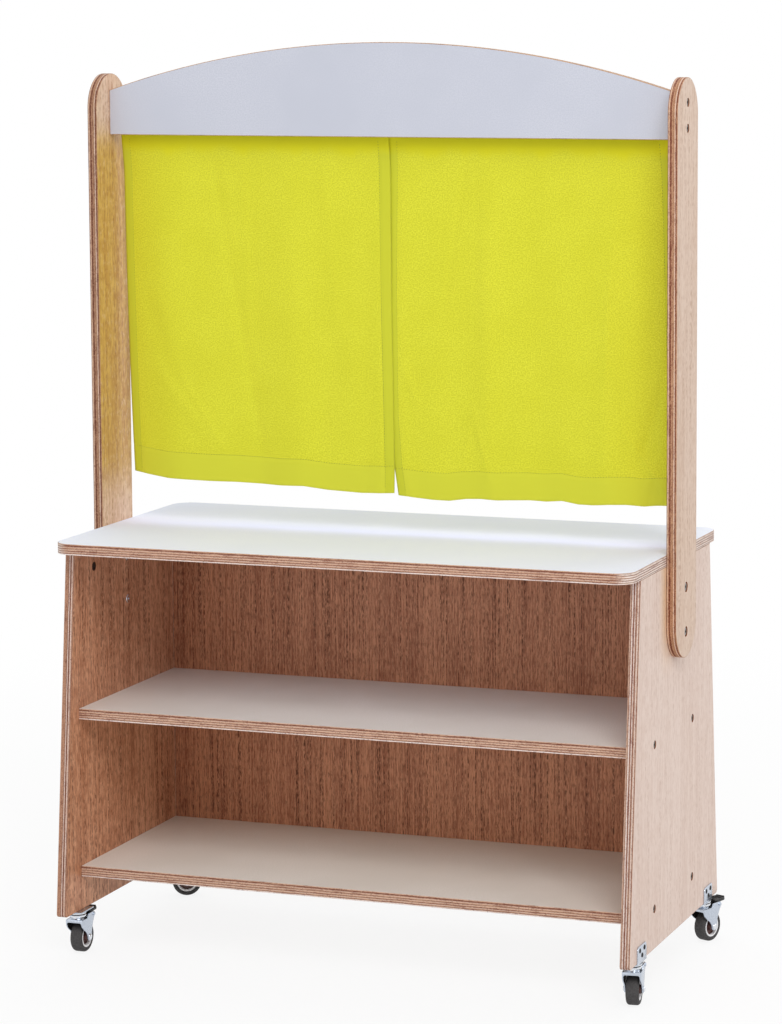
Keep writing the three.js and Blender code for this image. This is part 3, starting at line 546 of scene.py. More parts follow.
def prism(outline, axis, low, high, ease=0.0, segments=2):
    """A bmesh between two planes; material 0 on the low face, 1 on the high one, 2 on the edge"""
    first, second, across = OUTLINE_AXES[axis]
    bm = bmesh.new()
    rings = []
    for level in (low, high):
        ring = []
        for point in outline:
            place = [0.0, 0.0, 0.0]
            place[first], place[second], place[across] = *point, level
            ring.append(bm.verts.new(place))
        rings.append(ring)
    lower, upper = rings
    bm.faces.new(lower).material_index = 0
    bm.faces.new(upper).material_index = 1
    for i in range(len(outline)):
        j = (i + 1) % len(outline)
        bm.faces.new((lower[i], lower[j], upper[j], upper[i])).material_index = 2
    bmesh.ops.recalc_face_normals(bm, faces=bm.faces)
    if ease:
        sharp = [edge for edge in bm.edges if edge.calc_face_angle() > SHARP_ANGLE]
        bmesh.ops.bevel(
            bm, geom=sharp, offset=ease, segments=segments, affect="EDGES", profile=0.5, material=2,
            clamp_overlap=True,
        )
    return bm


def lathe(profile, sides, axis="x"):
    """A bmesh turned round an axis from (radius, height) pairs"""
    bm = bmesh.new()
    rings = []
    for radius, height in profile:
        ring = []
        for k in range(sides if radius else 1):
            angle = 2 * math.pi * k / sides
            a, b = radius * math.cos(angle), radius * math.sin(angle)
            ring.append(bm.verts.new((height, a, b) if axis == "x" else (a, b, height)))
        rings.append(ring)
    pairs = list(zip(rings, rings[1:]))
    if len(rings[0]) > 1 and len(rings[-1]) > 1:
        pairs.append((rings[-1], rings[0]))
    for one, two in pairs:
        for k in range(sides):
            j = (k + 1) % sides
            corners = (one[k % len(one)], one[j % len(one)], two[j % len(two)], two[k % len(two)])
            corners = tuple(dict.fromkeys(corners))
            if len(corners) > 2:
                bm.faces.new(corners)
    return bm


def both_sides(side):
    """A profile's mirror image, and from its last point back to its first the profile itself"""
    return [(radius, -height) for radius, height in side] + side[::-1]


def subtract(piece, cutters, material_mode):
    """The mesh of a piece less its cutters, which are deleted"""
    for cutter in cutters:
        modifier = piece.modifiers.new("cut", "BOOLEAN")
        modifier.operation = "DIFFERENCE"
        modifier.solver = "EXACT"
        modifier.material_mode = material_mode
        modifier.object = cutter
    mesh = bpy.data.meshes.new_from_object(piece.evaluated_get(bpy.context.evaluated_depsgraph_get()))
    piece.modifiers.clear()
    for cutter in cutters:
        bpy.data.objects.remove(cutter)
    return mesh


def cutter_of(bm, materials=()):
    """A closed bmesh as an object that cuts"""
    mesh = bpy.data.meshes.new("cutter")
    bm.to_mesh(mesh)
    bm.free()
    for material in materials:
        mesh.materials.append(material)
    return put("cutter", mesh)


def bore_cutter(axis, centre, radius, start, end, sides=40):
    """A round cutter along an axis, its centre given as the outline's two places"""
    outline = arc(centre, radius, 0, 360 * (sides - 1) / sides, sides - 1)
    bm = prism(outline, axis, start, end)
    for face in bm.faces:
        face.material_index = 0
    return cutter_of(bm, [BORE_WOOD])


def cut_mesh(mesh, bm):
    """The mesh less a closed bmesh"""
    body = put("cut_body", mesh)
    result = subtract(body, [cutter_of(bm)], "INDEX")
    bpy.data.objects.remove(body)
    return shade(result)


def write_vectors(mesh, name, values):
    layer = mesh.attributes.new(name, "FLOAT_VECTOR", "POINT")
    layer.data.foreach_set("vector", np.asarray(values, np.float32).ravel())


# Boards
BOARD_EASE, HEADER_EASE = 0.0007, 0.0011
PANEL_TOP_Y, PANEL_CORNER = 0.194, 0.006
TOP_CORNER = 0.033
HEADER_END = 0.073
# Grain places are shifted along, so that no two boards show the same piece of veneer
PANEL_SHIFT, POST_SHIFT, MIDDLE_SHELF_SHIFT, LOWER_SHELF_SHIFT = 0.9, 2.3, 0.4, 1.7
# Fasteners: radii of their bores and heads, how far they lie below the face, and the cutters' overrun
SHELF_SCREW_BORE, HEADER_SCREW_BORE, POST_BOLT_BORE, CAM_BORE = 0.0068, 0.007, 0.0083, 0.0076
SCREW_HEAD, BOLT_HEAD, NUT_FLANGE, CAM_DRUM = 0.0057, 0.0065, 0.007, 0.0073
SCREW_SOCKET, BOLT_SOCKET, NUT_SOCKET, SOCKET_DEPTH = 0.0024, 0.0027, 0.0026, 0.002
HEAD_HEIGHT, HEAD_EASE = 0.003, 0.0006
SINK, OVERRUN = 0.0008, 0.001
CAM_Z = PANEL_HIGH[2] - 0.0374
CAM_DEPTH, CAM_SEAT = 0.0045, 0.0022


def board(name, outline, axis, low, high, materials, holes=(), shift=0.0, ease=BOARD_EASE):
    """A board whose grain attribute holds the outline's two places and the share of its thickness"""
    mesh = mesh_of(name, [prism(outline, axis, low, high, ease)], materials)
    piece = link(name + "_board", mesh, "stand", [name])
    if holes:
        piece.data = subtract(piece, [bore_cutter(axis, *hole) for hole in holes], "TRANSFER")
    mesh = shade(piece.data)
    places = np.empty(len(mesh.vertices) * 3, np.float32)
    mesh.vertices.foreach_get("co", places)
    places = places.reshape(-1, 3)
    first, second, across = OUTLINE_AXES[axis]
    share = (places[:, across] - low) / (high - low)
    write_vectors(mesh, "grain", np.stack([places[:, first] + shift, places[:, second], share], 1))
    normals = piece.modifiers.new("normals", "WEIGHTED_NORMAL")
    normals.keep_sharp = True


def middle(node):
    low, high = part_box(node)
    return tuple((a + b) / 2 for a, b in zip(low, high))


def head_bore(node, radius, side, face):
    """A bore from outside a board's face to the seat of a fastener's head"""
    _, y, z = middle(node)
    return (y, z), radius, side * (face - SINK - HEAD_HEIGHT), side * (face + OVERRUN)


def side_panel(name, side):
    outline = rounded([
        (PANEL_LOW[1], PANEL_LOW[2], PANEL_CORNER), (PANEL_HIGH[1], PANEL_LOW[2], PANEL_CORNER),
        (PANEL_TOP_Y, PANEL_HIGH[2], 0), (-PANEL_TOP_Y, PANEL_HIGH[2], 0),
    ])
    holes = [
        head_bore(f"{name}_{shelf}_shelf_screw_{end}", SHELF_SCREW_BORE, side, OUTER_X)
        for shelf in SHELVES for end in ENDS
    ]
    for end in ENDS:
        y = middle(f"{name}_cam_lock_{end}")[1]
        holes.append(((y, CAM_Z), CAM_BORE, side * (INNER_X - OVERRUN), side * (INNER_X + CAM_DEPTH)))
    low, high = sorted((side * INNER_X, side * OUTER_X))
    faces = (SHADED_INNER_WOOD, OUTER_WOOD)[::side]
    materials = (*faces, PANEL_EDGES[name], BORE_WOOD)
    board(f"{name}_side_panel", outline, "x", low, high, materials, holes, side * PANEL_SHIFT)


def post(name, side):
    (_, low_y, low_z), (_, high_y, high_z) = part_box(f"{name}_post")
    radius = (high_y - low_y) / 2
    outline = arc((0, low_z + radius), radius, 180, 360, 40)
    outline += arc((0, high_z - radius), radius, 0, 180, 40)
    holes = [
        head_bore(f"{name}_{kind}_{level}", bore, side, POST_X)
        for kind, bore in (("header_screw", HEADER_SCREW_BORE), ("post_bolt", POST_BOLT_BORE))
        for level in LEVELS
    ]
    low, high = sorted((side * OUTER_X, side * POST_X))
    faces = (POST_INSIDE, POST_WOOD)[::side]
    materials = (*faces, POST_EDGES[name], BORE_WOOD)
    board(f"{name}_post", outline, "x", low, high, materials, holes, side * POST_SHIFT)


def header():
    low_z, high_z = HEADER_LOW[2], HEADER_HIGH[2]
    rise = high_z - low_z - HEADER_END
    radius = (OUTER_X ** 2 + rise ** 2) / (2 * rise)
    angle = math.degrees(math.asin(OUTER_X / radius))
    outline = [(-OUTER_X, low_z), (OUTER_X, low_z)]
    outline += arc((0, high_z - radius), radius, 90 - angle, 90 + angle, 64)
    materials = (LILAC_FACE, LILAC_FACE, HEADER_EDGE)
    board("header_board", outline, "y", HEADER_LOW[1], HEADER_HIGH[1], materials, ease=HEADER_EASE)


def worktop():
    outline = rectangle(TOP_LOW, TOP_HIGH, TOP_CORNER, steps=16)
    materials = (WHITE_FACE, WHITE_FACE, BOARD_EDGE)
    board("worktop", outline, "z", TOP_LOW[2], TOP_HIGH[2], materials)


def flat_board(name, axis, materials, shift=0.0):
    low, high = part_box(name)
    first, second, across = OUTLINE_AXES[axis]
    outline = rectangle((low[first], low[second]), (high[first], high[second]))
    board(name, outline, axis, low[across], high[across], materials, shift=shift)


# Fasteners
def hexagon(radius, start, end):
    return prism(arc((0, 0), radius, 0, 300, 5), "x", start, end)


def socket_head(name, radius, material, socket):
    """A cylinder head along +X from its seat at 0, with a hexagonal socket"""
    softened = HEAD_EASE * 0.3
    bm = lathe([
        (0, 0), (radius, 0), (radius, HEAD_HEIGHT - HEAD_EASE),
        (radius - softened, HEAD_HEIGHT - softened), (radius - HEAD_EASE, HEAD_HEIGHT), (0, HEAD_HEIGHT),
    ], 36)
    recess = hexagon(socket, HEAD_HEIGHT - SOCKET_DEPTH, HEAD_HEIGHT + OVERRUN)
    return cut_mesh(mesh_of(name, [bm], [material]), recess)


def nut_mesh():
    """The flange of a sleeve nut along +X, with a hexagonal socket"""
    bm = lathe([
        (0, 0), (NUT_FLANGE, 0), (NUT_FLANGE, 0.0008), (NUT_FLANGE - 0.0008, 0.0016), (0, 0.0016),
    ], 36)
    return cut_mesh(mesh_of("nut_flange", [bm], [CHROME]), hexagon(NUT_SOCKET, 0.0002, 0.003))


def cam_mesh():
    """The drum of a cam lock along +X, hollow inside its rim"""
    bm = lathe([
        (0, 0), (CAM_DRUM, 0), (CAM_DRUM, 0.0014), (CAM_DRUM - 0.0004, 0.0018),
        (0.0058, 0.0018), (0.005, 0.0008), (0, 0.0008),
    ], 36)
    return mesh_of("cam_drum", [bm], [BRONZE])


def head(node, mesh, side, face):
    """A fastener's head in its bore, below a board's face"""
    _, y, z = middle(node)
    matrix = aim(side, side * (face - SINK - HEAD_HEIGHT), y, z)
    link(node + "_head", mesh, "stand", [node], matrix)


def fasteners():
    screw = socket_head("screw_head", SCREW_HEAD, SCREW_STEEL, SCREW_SOCKET)
    bolt = socket_head("bolt_head", BOLT_HEAD, STEEL, BOLT_SOCKET)
    nut, cam = nut_mesh(), cam_mesh()
    for name, side in SIDES:
        for level in LEVELS:
            head(f"{name}_header_screw_{level}", screw, side, POST_X)
            head(f"{name}_post_bolt_{level}", bolt, side, POST_X)
            node = f"{name}_post_nut_{level}"
            _, y, z = middle(node)
            link(node + "_flange", nut, "stand", [node], aim(-side, side * INNER_X, y, z))
        for shelf in SHELVES:
            for end in ENDS:
                head(f"{name}_{shelf}_shelf_screw_{end}", screw, side, OUTER_X)
        for end in ENDS:
            node = f"{name}_cam_lock_{end}"
            matrix = aim(-side, side * (INNER_X + CAM_SEAT), middle(node)[1], CAM_Z)
            link(node + "_drum", cam, "stand", [node], matrix)


# Curtains: the radius at which the cloth goes over the rod, its thickness, how far a turned-in edge
# lies behind it, and the length of the way over the rod
SLEEVE = 0.0073
CLOTH_THICKNESS = 0.0008
HEM_BEHIND = 0.0011
OVER_ROD = 0.023
CURTAIN_COLUMNS, POCKET_ROWS, ROD_ROWS, FRONT_ROWS, HEM_ROWS, SIDE_ROWS = 140, 7, 11, 150, 12, 90
STITCH_PITCH, STITCH_LENGTH, STITCH_HALF, STITCH_HEIGHT = 0.0045, 0.003, 0.0006, 0.0004
STITCH_START, STITCH_MARGIN, STITCH_INSET = 0.002, 0.004, 0.0006
# The fall within which the cloth comes back under the rod's axis, and half the width of the tuck
# where the right curtain goes behind the left one
HANG_FALL, TUCK_HALF = 0.09, 0.022
# Doubled cloth stands proud by the lift, and its seam is drawn in by the sink
HEM_LIFT, SEAM_SINK, SEAM_HALF, HEM_SOFTNESS = 0.0006, 0.0007, 0.0022, 0.002
# A side hem's gap to the pocket, its gaps at both ends together, and the turn at the cloth's foot
SIDE_HEM_GAP, SIDE_HEM_GAPS, FOOT_TURN = 0.002, 0.003, 0.0005
# The height of the small waves all over the cloth
RIPPLE = 0.0008

# Folds as in the solids: share across at the rod and at the hem, half width as a share, depth
FOLDS = {
    "left": [
        (0.03, 0.05, 0.04, 0.004), (0.38, 0.36, 0.07, 0.005), (0.55, 0.5, 0.05, -0.003),
    ],
    "right": [
        (0.02, 0.03, 0.04, 0.004), (0.351, 0.35, 0.045, 0.0045), (0.5, 0.52, 0.07, -0.004),
        (0.78, 0.76, 0.06, 0.007), (0.93, 0.92, 0.06, -0.007),
    ],
}
# Flanks, flat on one side and steep on the other: the toe's and the ridge's shares across at the
# rod and at the hem, and the ridge's height at both
FLANKS = {"left": [((0.72, 0.56), (0.79, 0.83), (0.0028, 0.0055))], "right": []}
# Creases: where each starts and ends as shares across and down, its half width and height
CREASES = {
    "left": [
        ((0.93, 0.45), (0.82, 0.75), 0.03, -0.0012), ((0.66, 0.1), (0.5, 0.9), 0.022, -0.0014),
        ((0.8, 0.7), (0.63, 0.93), 0.016, 0.0013), ((0.55, 0.08), (0.53, 0.6), 0.02, 0.001),
        ((0.25, 0.1), (0.2, 0.6), 0.025, 0.001), ((0.2, 0.55), (0.28, 0.9), 0.03, -0.0012),
        ((0.87, 0.7), (0.68, 0.9), 0.03, 0.0015),
    ],
    "right": [
        ((0.28, 0.05), (0.197, 0.5), 0.01, -0.001), ((0.316, 0.12), (0.312, 0.6), 0.014, -0.0006),
        ((0.39, 0.12), (0.387, 0.6), 0.014, -0.0007), ((0.32, 0.2), (0.38, 0.28), 0.01, 0.0008),
        ((0.32, 0.4), (0.38, 0.46), 0.01, 0.0008), ((0.78, 0.33), (0.76, 0.68), 0.014, 0.0016),
        ((0.86, 0.92), (0.99, 0.6), 0.02, -0.0022), ((0.82, 0.8), (0.99, 0.99), 0.014, 0.0018),
        ((0.88, 0.99), (0.99, 0.78), 0.01, 0.0012), ((0.05, 0.65), (0.1, 0.75), 0.014, 0.0022),
        ((0.392, 0.755), (0.39, 0.815), 0.008, 0.0016), ((0.25, 0.92), (0.295, 0.77), 0.01, 0.0014),
        ((0.34, 0.92), (0.3, 0.77), 0.01, 0.0014),
    ],
}
# How far the lower edge hangs below the straight line between its corners, from the parting out
HEM_DIPS = {
    "left": (
        (0, 0.12, 0.25, 0.34, 0.43, 0.6, 0.7, 0.86, 0.94, 1),
        (0, 0.0042, 0.004, 0.0006, 0.0032, 0.0038, 0.0056, 0.0064, 0.0034, 0),
    ),
    "right": (
        (0, 0.04, 0.07, 0.13, 0.19, 0.25, 0.31, 0.37, 0.48, 0.54, 0.6, 0.66, 0.71,
         0.77, 0.83, 0.89, 0.94, 1),
        (0, 0.0012, 0.0028, 0.005, 0.0056, 0.0016, 0.0004, 0.0016, 0, 0.0014, -0.001, 0.0034, 0.0034,
         0.0012, 0.001, 0.0036, 0.0014, 0),
    ),
}
# The edge at the parting: distances below the rod and how far right of the middle it hangs there
EDGES = {
    "left": ((0, 0.02, 0.3, 0.56, 0.6), (-0.002, -0.0033, -0.002, 0.001, 0.0002)),
    "right": (
        (0, 0.015, 0.04, 0.27, 0.47, 0.55, 0.6),
        (-0.001, -0.005, -0.0055, -0.0085, -0.0066, -0.0005, 0.0068),
    ),
}
# Widths of the side hems at the parting and at the post, each at the rod and at the foot
HEMS = {
    "left": ((0.02, 0.016), (0.0148, 0.0148)),
    "right": ((0.0148, 0.0148), (0.0285, 0.008)),
}
# Places of both edges at the rod, how far the outer edge is drawn in at the foot, the lengths below
# the rod at both edges, and how far the edge at the parting is tucked behind the other curtain
CURTAINS = {
    "left": {"inner": -0.002, "outer": -0.476, "draw": 0.0115, "lengths": (0.597, 0.58), "behind": 0},
    "right": {"inner": 0.001, "outer": 0.476, "draw": 0.003, "lengths": (0.6005, 0.597), "behind": 0.004},
}


def smooth_share(value, low, high):
    share = np.clip((value - low) / (high - low), 0, 1)
    return share * share * (3 - 2 * share)


def width_of(name):
    return abs(CURTAINS[name]["outer"] - CURTAINS[name]["inner"])


def hem_width(name, at_outer, down):
    """The width of a side hem for a share down"""
    top, foot = HEMS[name][int(at_outer)]
    return top + (foot - top) * np.clip(down, 0, 1)


def crease_height(crease, across, down):
    """A crease that fades in and out along a slanted line"""
    (start_across, start_down), (end_across, end_down), half, lift = crease
    low, high = sorted((start_down, end_down))
    run = np.clip((down - low) / (high - low), 0, 1)
    if end_down < start_down:
        run = 1 - run
    centre = start_across + (end_across - start_across) * run
    fade = smooth_share(down, low - 0.06, low + 0.08) * (1 - smooth_share(down, high - 0.08, high + 0.06))
    return lift * fade * np.exp(-((across - centre) / half) ** 2)


def cloth_front(name, across, down):
    """How far the cloth stands in front of the rod's plane, for shares across and down"""
    height = np.zeros_like(across)
    growth = np.sqrt(np.clip(down, 0, 1))
    for top, foot, half, depth in FOLDS[name]:
        centre = top + (foot - top) * down
        height += depth * growth * np.exp(-((across - centre) / half) ** 2)
    for toes, ridges, lifts in FLANKS[name]:
        toe, ridge, lift = (top + (foot - top) * down for top, foot in (toes, ridges, lifts))
        rise = smooth_share(across, toe, ridge)
        drop = 1 - 2.1 * smooth_share(across, ridge, 1.03)
        height += lift * np.where(across < ridge, rise, drop)
    for crease in CREASES[name]:
        height += crease_height(crease, across, down)
    wave = np.sin(across * 37 + down * 3) * 0.5 + np.sin(across * 23 - down * 5 + 2) * 0.5
    return height + RIPPLE * wave * growth


def lengths_at(name, across):
    inner, outer = CURTAINS[name]["lengths"]
    return inner + (outer - inner) * across + np.interp(across, *HEM_DIPS[name])


def cloth_place(name, across, fall, behind=0.0):
    """A point of the hanging part: share across, distance below the rod, distance behind"""
    spec = CURTAINS[name]
    length = lengths_at(name, across)
    down = np.clip(fall / length, 0, 1)
    outer = spec["outer"] - math.copysign(spec["draw"], spec["outer"]) * down ** 2
    inner = np.interp(fall, *EDGES[name])
    x = inner + (outer - inner) * across
    hang = smooth_share(fall, 0, HANG_FALL)
    tuck = spec["behind"] * np.exp(-((x - inner) / TUCK_HALF) ** 2) * smooth_share(fall, 0.01, 0.03)
    y = ROD_Y - SLEEVE * (1 - hang) - cloth_front(name, across, down) * hang + tuck
    rise = length - fall - HEM_HEIGHT
    foot = smooth_share(rise, HEM_SOFTNESS, -HEM_SOFTNESS)
    foot_seam = np.exp(-(rise / SEAM_HALF) ** 2)
    inner_share = np.abs(x - inner) / hem_width(name, False, down)
    outer_share = np.abs(outer - x) / hem_width(name, True, down)
    edge = np.minimum(inner_share, outer_share)
    side = smooth_share(edge, 1.13, 0.87)
    side_seam = np.exp(-((edge - 1) / 0.12) ** 2)
    y = y - HEM_LIFT * np.maximum(foot, side) + SEAM_SINK * np.maximum(foot_seam, side_seam)
    return np.stack([x, y + behind, ROD_Z - fall], -1)


def cloth_mesh(name, grid, weave, hems):
    """A closed thin sheet round a grid of places, with weave and hem places for its material"""
    normal = np.cross(np.gradient(grid, axis=0), np.gradient(grid, axis=1))
    normal /= np.maximum(np.linalg.norm(normal, axis=2, keepdims=True), 1e-12)
    offset = normal * CLOTH_THICKNESS / 2
    places = np.concatenate([sheet.reshape(-1, 3) for sheet in (grid + offset, grid - offset)])
    rows, columns, _ = grid.shape
    count = rows * columns
    index = np.arange(count).reshape(rows, columns)
    front = np.stack([index[:-1, :-1], index[:-1, 1:], index[1:, 1:], index[1:, :-1]], -1).reshape(-1, 4)
    ring = np.concatenate([index[0], index[1:, -1], index[-1, -2::-1], index[-2:0:-1, 0]])
    after = np.roll(ring, -1)
    rim = np.stack([ring, ring + count, after + count, after], -1)
    faces = np.concatenate([front, front[:, ::-1] + count, rim])
    mesh = bpy.data.meshes.new(name)
    mesh.from_pydata(places.tolist(), [], faces.tolist())
    bm = bmesh.new()
    bm.from_mesh(mesh)
    bmesh.ops.recalc_face_normals(bm, faces=bm.faces)
    bm.to_mesh(mesh)
    bm.free()
    mesh.materials.append(CLOTH)
    mesh.shade_smooth()
    write_vectors(mesh, "weave", np.concatenate([weave.reshape(-1, 3)] * 2))
    write_vectors(mesh, "hems", np.concatenate([hems.reshape(-1, 3)] * 2))
    return mesh


def curtain_mesh(name):
    """Rows run from the pocket's seam over the rod, down the front, round the hem and up its back"""
    shares = np.linspace(0, 1, CURTAIN_COLUMNS)
    lengths = lengths_at(name, shares)
    level = np.ones(CURTAIN_COLUMNS)
    rows, runs = [], []
    seam = cloth_place(name, shares, POCKET * level)[:, 1] + HEM_BEHIND
    for step in np.linspace(0, 1, POCKET_ROWS):
        back = cloth_place(name, shares, POCKET * (1 - step) * level)
        back[:, 1] = seam + (ROD_Y + SLEEVE - seam) * smooth_share(step, 0, 1)
        rows.append(back)
        runs.append((-OVER_ROD - POCKET * (1 - step)) * level)
    for angle in np.linspace(0, math.pi, ROD_ROWS)[1:-1]:
        top = cloth_place(name, shares, 0 * level)
        top[:, 1] = ROD_Y + SLEEVE * math.cos(angle)
        top[:, 2] = ROD_Z + SLEEVE * math.sin(angle)
        rows.append(top)
        runs.append((SLEEVE * angle - OVER_ROD) * level)
    for step in np.linspace(0, 1, FRONT_ROWS):
        rows.append(cloth_place(name, shares, (lengths - FOOT_TURN) * step))
        runs.append(lengths * step)
    for turned_share in (0.35, 0.65):
        turn = cloth_place(name, shares, lengths - 0.0002)
        turn[:, 1] += HEM_BEHIND * turned_share
        turn[:, 2] -= 0.0002
        rows.append(turn)
        runs.append(lengths)
    for step in np.linspace(0, 1, HEM_ROWS):
        fall = lengths - FOOT_TURN - (HEM_HEIGHT - 2 * FOOT_TURN) * step
        rows.append(cloth_place(name, shares, fall, HEM_BEHIND))
        runs.append(lengths - HEM_HEIGHT * step)
    down = np.stack(runs)
    across = np.broadcast_to(shares * width_of(name), down.shape)
    weave = np.stack([across, down, np.zeros_like(down)], -1)
    run = down / lengths
    hems = np.stack([
        across / hem_width(name, False, run),
        (width_of(name) - across) / hem_width(name, True, run),
        (lengths - down) / HEM_HEIGHT,
    ], -1)
    return cloth_mesh(f"{name}_cloth", np.stack(rows), weave, hems)


def side_hem(name, at_outer):
    """The turned-in edge behind the cloth, from below the pocket to the foot hem"""
    rows = []
    for step in np.linspace(0, 1, SIDE_ROWS):
        share = hem_width(name, at_outer, step) / width_of(name)
        shares = np.linspace(1 - share, 1, 5) if at_outer else np.linspace(0, share, 5)
        room = lengths_at(name, shares) - HEM_HEIGHT - POCKET - SIDE_HEM_GAPS
        fall = POCKET + SIDE_HEM_GAP + room * step
        rows.append(cloth_place(name, shares, fall, HEM_BEHIND))
    grid = np.stack(rows)
    weave = np.stack([np.abs(grid[:, :, 0]), ROD_Z - grid[:, :, 2], 0 * grid[:, :, 0]], -1)
    return cloth_mesh("hem_strip", grid, weave, np.zeros_like(grid))


def stitch_ends(name):
    """Pairs of ends of each stitch, as shares across and distances below the rod"""
    width = width_of(name)
    ends = []
    for k in range(int((width - STITCH_MARGIN) / STITCH_PITCH)):
        start = (STITCH_START + k * STITCH_PITCH) / width
        shares = (start, start + STITCH_LENGTH / width)
        ends.append([(share, lengths_at(name, share) - HEM_HEIGHT) for share in shares])
    for at_outer in (False, True):
        foot = float(lengths_at(name, float(at_outer)))
        for k in range(int((foot - POCKET - STITCH_MARGIN) / STITCH_PITCH)):
            fall = POCKET + k * STITCH_PITCH
            inset = (float(hem_width(name, at_outer, fall / foot)) - STITCH_INSET) / width
            share = 1 - inset if at_outer else inset
            ends.append([(share, fall), (share, fall + STITCH_LENGTH)])
    return ends


# A stitch's corners: its two ends, its two sides, its front and its back
STITCH_FACES = ((0, 2, 4), (0, 4, 3), (0, 3, 5), (0, 5, 2), (1, 4, 2), (1, 3, 4), (1, 5, 3), (1, 2, 5))


def stitches(name):
    """Every stitch as a small lens on the front of the cloth"""
    places, faces = [], []
    lift = Vector((0, -CLOTH_THICKNESS / 2 - 0.0001, 0))
    high = Vector((0, -STITCH_HEIGHT, 0))
    for ends in stitch_ends(name):
        one, two = (
            Vector(cloth_place(name, np.array(share), np.array(fall))) + lift for share, fall in ends
        )
        wide = (two - one).normalized().cross(Vector((0, 1, 0))) * STITCH_HALF
        centre = (one + two) / 2
        base = len(places)
        corners = (one, two, centre + wide, centre - wide, centre + high, centre - high)
        places += [tuple(corner) for corner in corners]
        faces += [tuple(base + corner for corner in face) for face in STITCH_FACES]
    mesh = bpy.data.meshes.new("stitches")
    mesh.from_pydata(places, [], faces)
    mesh.materials.append(THREAD)
    mesh.shade_smooth()
    return mesh


def curtain(name):
    body = f"{name}_curtain"
    main = link(f"{body}_cloth", curtain_mesh(name), body, [body])
    extras = [
        link(f"{body}_inner_hem", side_hem(name, False), body, ()),
        link(f"{body}_outer_hem", side_hem(name, True), body, ()),
        link(f"{body}_stitches", stitches(name), body, ()),
    ]
    for piece in [main, *extras]:
        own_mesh(piece)


# The rod's ends lie in blind holes of the posts
ROD_RADIUS, ROD_INSERT = 0.006, 0.007


def rod():
    half = OUTER_X + ROD_INSERT
    bm = lathe(both_sides([(0, half), (ROD_RADIUS, half)]), 32)
    matrix = Matrix.Translation((0, ROD_Y, ROD_Z))
    link("rod", mesh_of("rod", [bm], [CHROME]), "stand", ["curtain_rod"], matrix)


# Casters, made round the swivel's axis with the wheel trailing towards +Y
CASTER_X, CASTER_Y = 0.473, 0.196
HEADINGS = {"front_left": 0, "front_right": -8, "back_left": 65, "back_right": 20}
WHEEL_RADIUS, TYRE_HALF, SHOULDER, SHOULDER_ANGLE = 0.025, 0.0105, 0.0048, 81.406
TRAIL = 0.015
CROWN_Z, CROWN_SHEET = 0.058, 0.002
FORK_FRONT, FORK_BACK = -0.013, 0.0145
LEG_IN, LEG_OUT = 0.0128, 0.0148
LEG_END, EAR = 0.0065, 0.0042
PIVOT_Y, PIVOT_Z = 0.03, 0.06
FLANGE_Z, BRACKET_SHEET, BRACKET_HALF, PLATE_HEIGHT = 0.07, 0.002, 0.023, 0.026
# How far the bracket's middle lies from the swivel's axis, towards the stand's middle
BRACKET_SHIFT = 0.008
# The bracket screws: each one's place along the plate and its height above the flange
BRACKET_SCREWS = ((-0.012, 0.019), (0.012, 0.019), (0, 0.0095))
PEDAL_TOP, PEDAL_START, PEDAL_END, PEDAL_HALF = FLANGE_Z - 0.003, 0.0226, 0.053, 0.0115
RIBS, RIB_HALF, RIB_WIDTH = (0.0385, 0.0415, 0.0445, 0.0475), 0.0085, 0.0013


def leg_outline():
    lip = CROWN_Z - 0.0068
    wheel_front, wheel_back = TRAIL - LEG_END, TRAIL + LEG_END
    points = [(FORK_FRONT, CROWN_Z)]
    start = (FORK_FRONT, lip)
    points += curve(start, (FORK_FRONT + 0.001, lip - 0.006), (FORK_FRONT + 0.009, lip - 0.012), 8)
    control = (wheel_front - 0.003, WHEEL_RADIUS + 0.009)
    points += curve(points[-1], control, (wheel_front, WHEEL_RADIUS), 8)[1:]
    points += arc((TRAIL, WHEEL_RADIUS), LEG_END, 180, 360, 16)[1:]
    points += curve(points[-1], (wheel_back + 0.001, 0.044), (PIVOT_Y + EAR, PIVOT_Z - 0.002), 10)[1:]
    points += arc((PIVOT_Y, PIVOT_Z), EAR, -25, 90, 8)
    points += [(0.012, PIVOT_Z + EAR), (0.008, CROWN_Z)]
    return points


def with_painted_shade(bm, side):
    """A prism whose low side, 0, or high side, 1, has the second material, a painted shade, and the rest
    the first
    """
    for face in bm.faces:
        face.material_index = int(face.material_index == side)
    return bm


def fork_mesh():
    """A stamped fork, dark inside as painted shade"""
    # The legs' inner faces, the crown's underside and the lip's back are painted dark as shade
    parts = [
        with_painted_shade(prism(leg_outline(), "x", low, low + 0.002, 0.0005), inner_side)
        for low, inner_side in ((LEG_IN, 0), (-LEG_OUT, 1))
    ]
    crown = rectangle((-LEG_OUT, FORK_FRONT), (LEG_OUT, FORK_BACK), 0.004, 0)
    parts.append(with_painted_shade(prism(crown, "z", CROWN_Z - CROWN_SHEET, CROWN_Z, 0.0006), 0))
    low, corner = CROWN_Z - 0.0046, CROWN_Z - 0.0078
    lip = [(-LEG_OUT, CROWN_Z - 0.0005), (LEG_OUT, CROWN_Z - 0.0005), (LEG_OUT, corner)]
    lip += curve((LEG_IN, corner), (LEG_IN - 0.0004, low), (LEG_IN - 0.004, low), 8)
    lip += curve((0.004 - LEG_IN, low), (0.0004 - LEG_IN, low), (-LEG_IN, corner), 8)
    lip.append((-LEG_OUT, corner))
    parts.append(with_painted_shade(prism(lip, "y", -0.0132, -0.0114, 0.0005), 1))
    for side in (-1, 1):
        pin = lathe([(0, 0), (0.0031, 0), (0.0031, 0.0009), (0.0022, 0.0017), (0, 0.0019)], 20)
        parts.append(moved(pin, side * LEG_OUT, PIVOT_Y, PIVOT_Z, side))
    return mesh_of("fork", parts, [ZINC, DARK_STEEL_AND_SHADE])


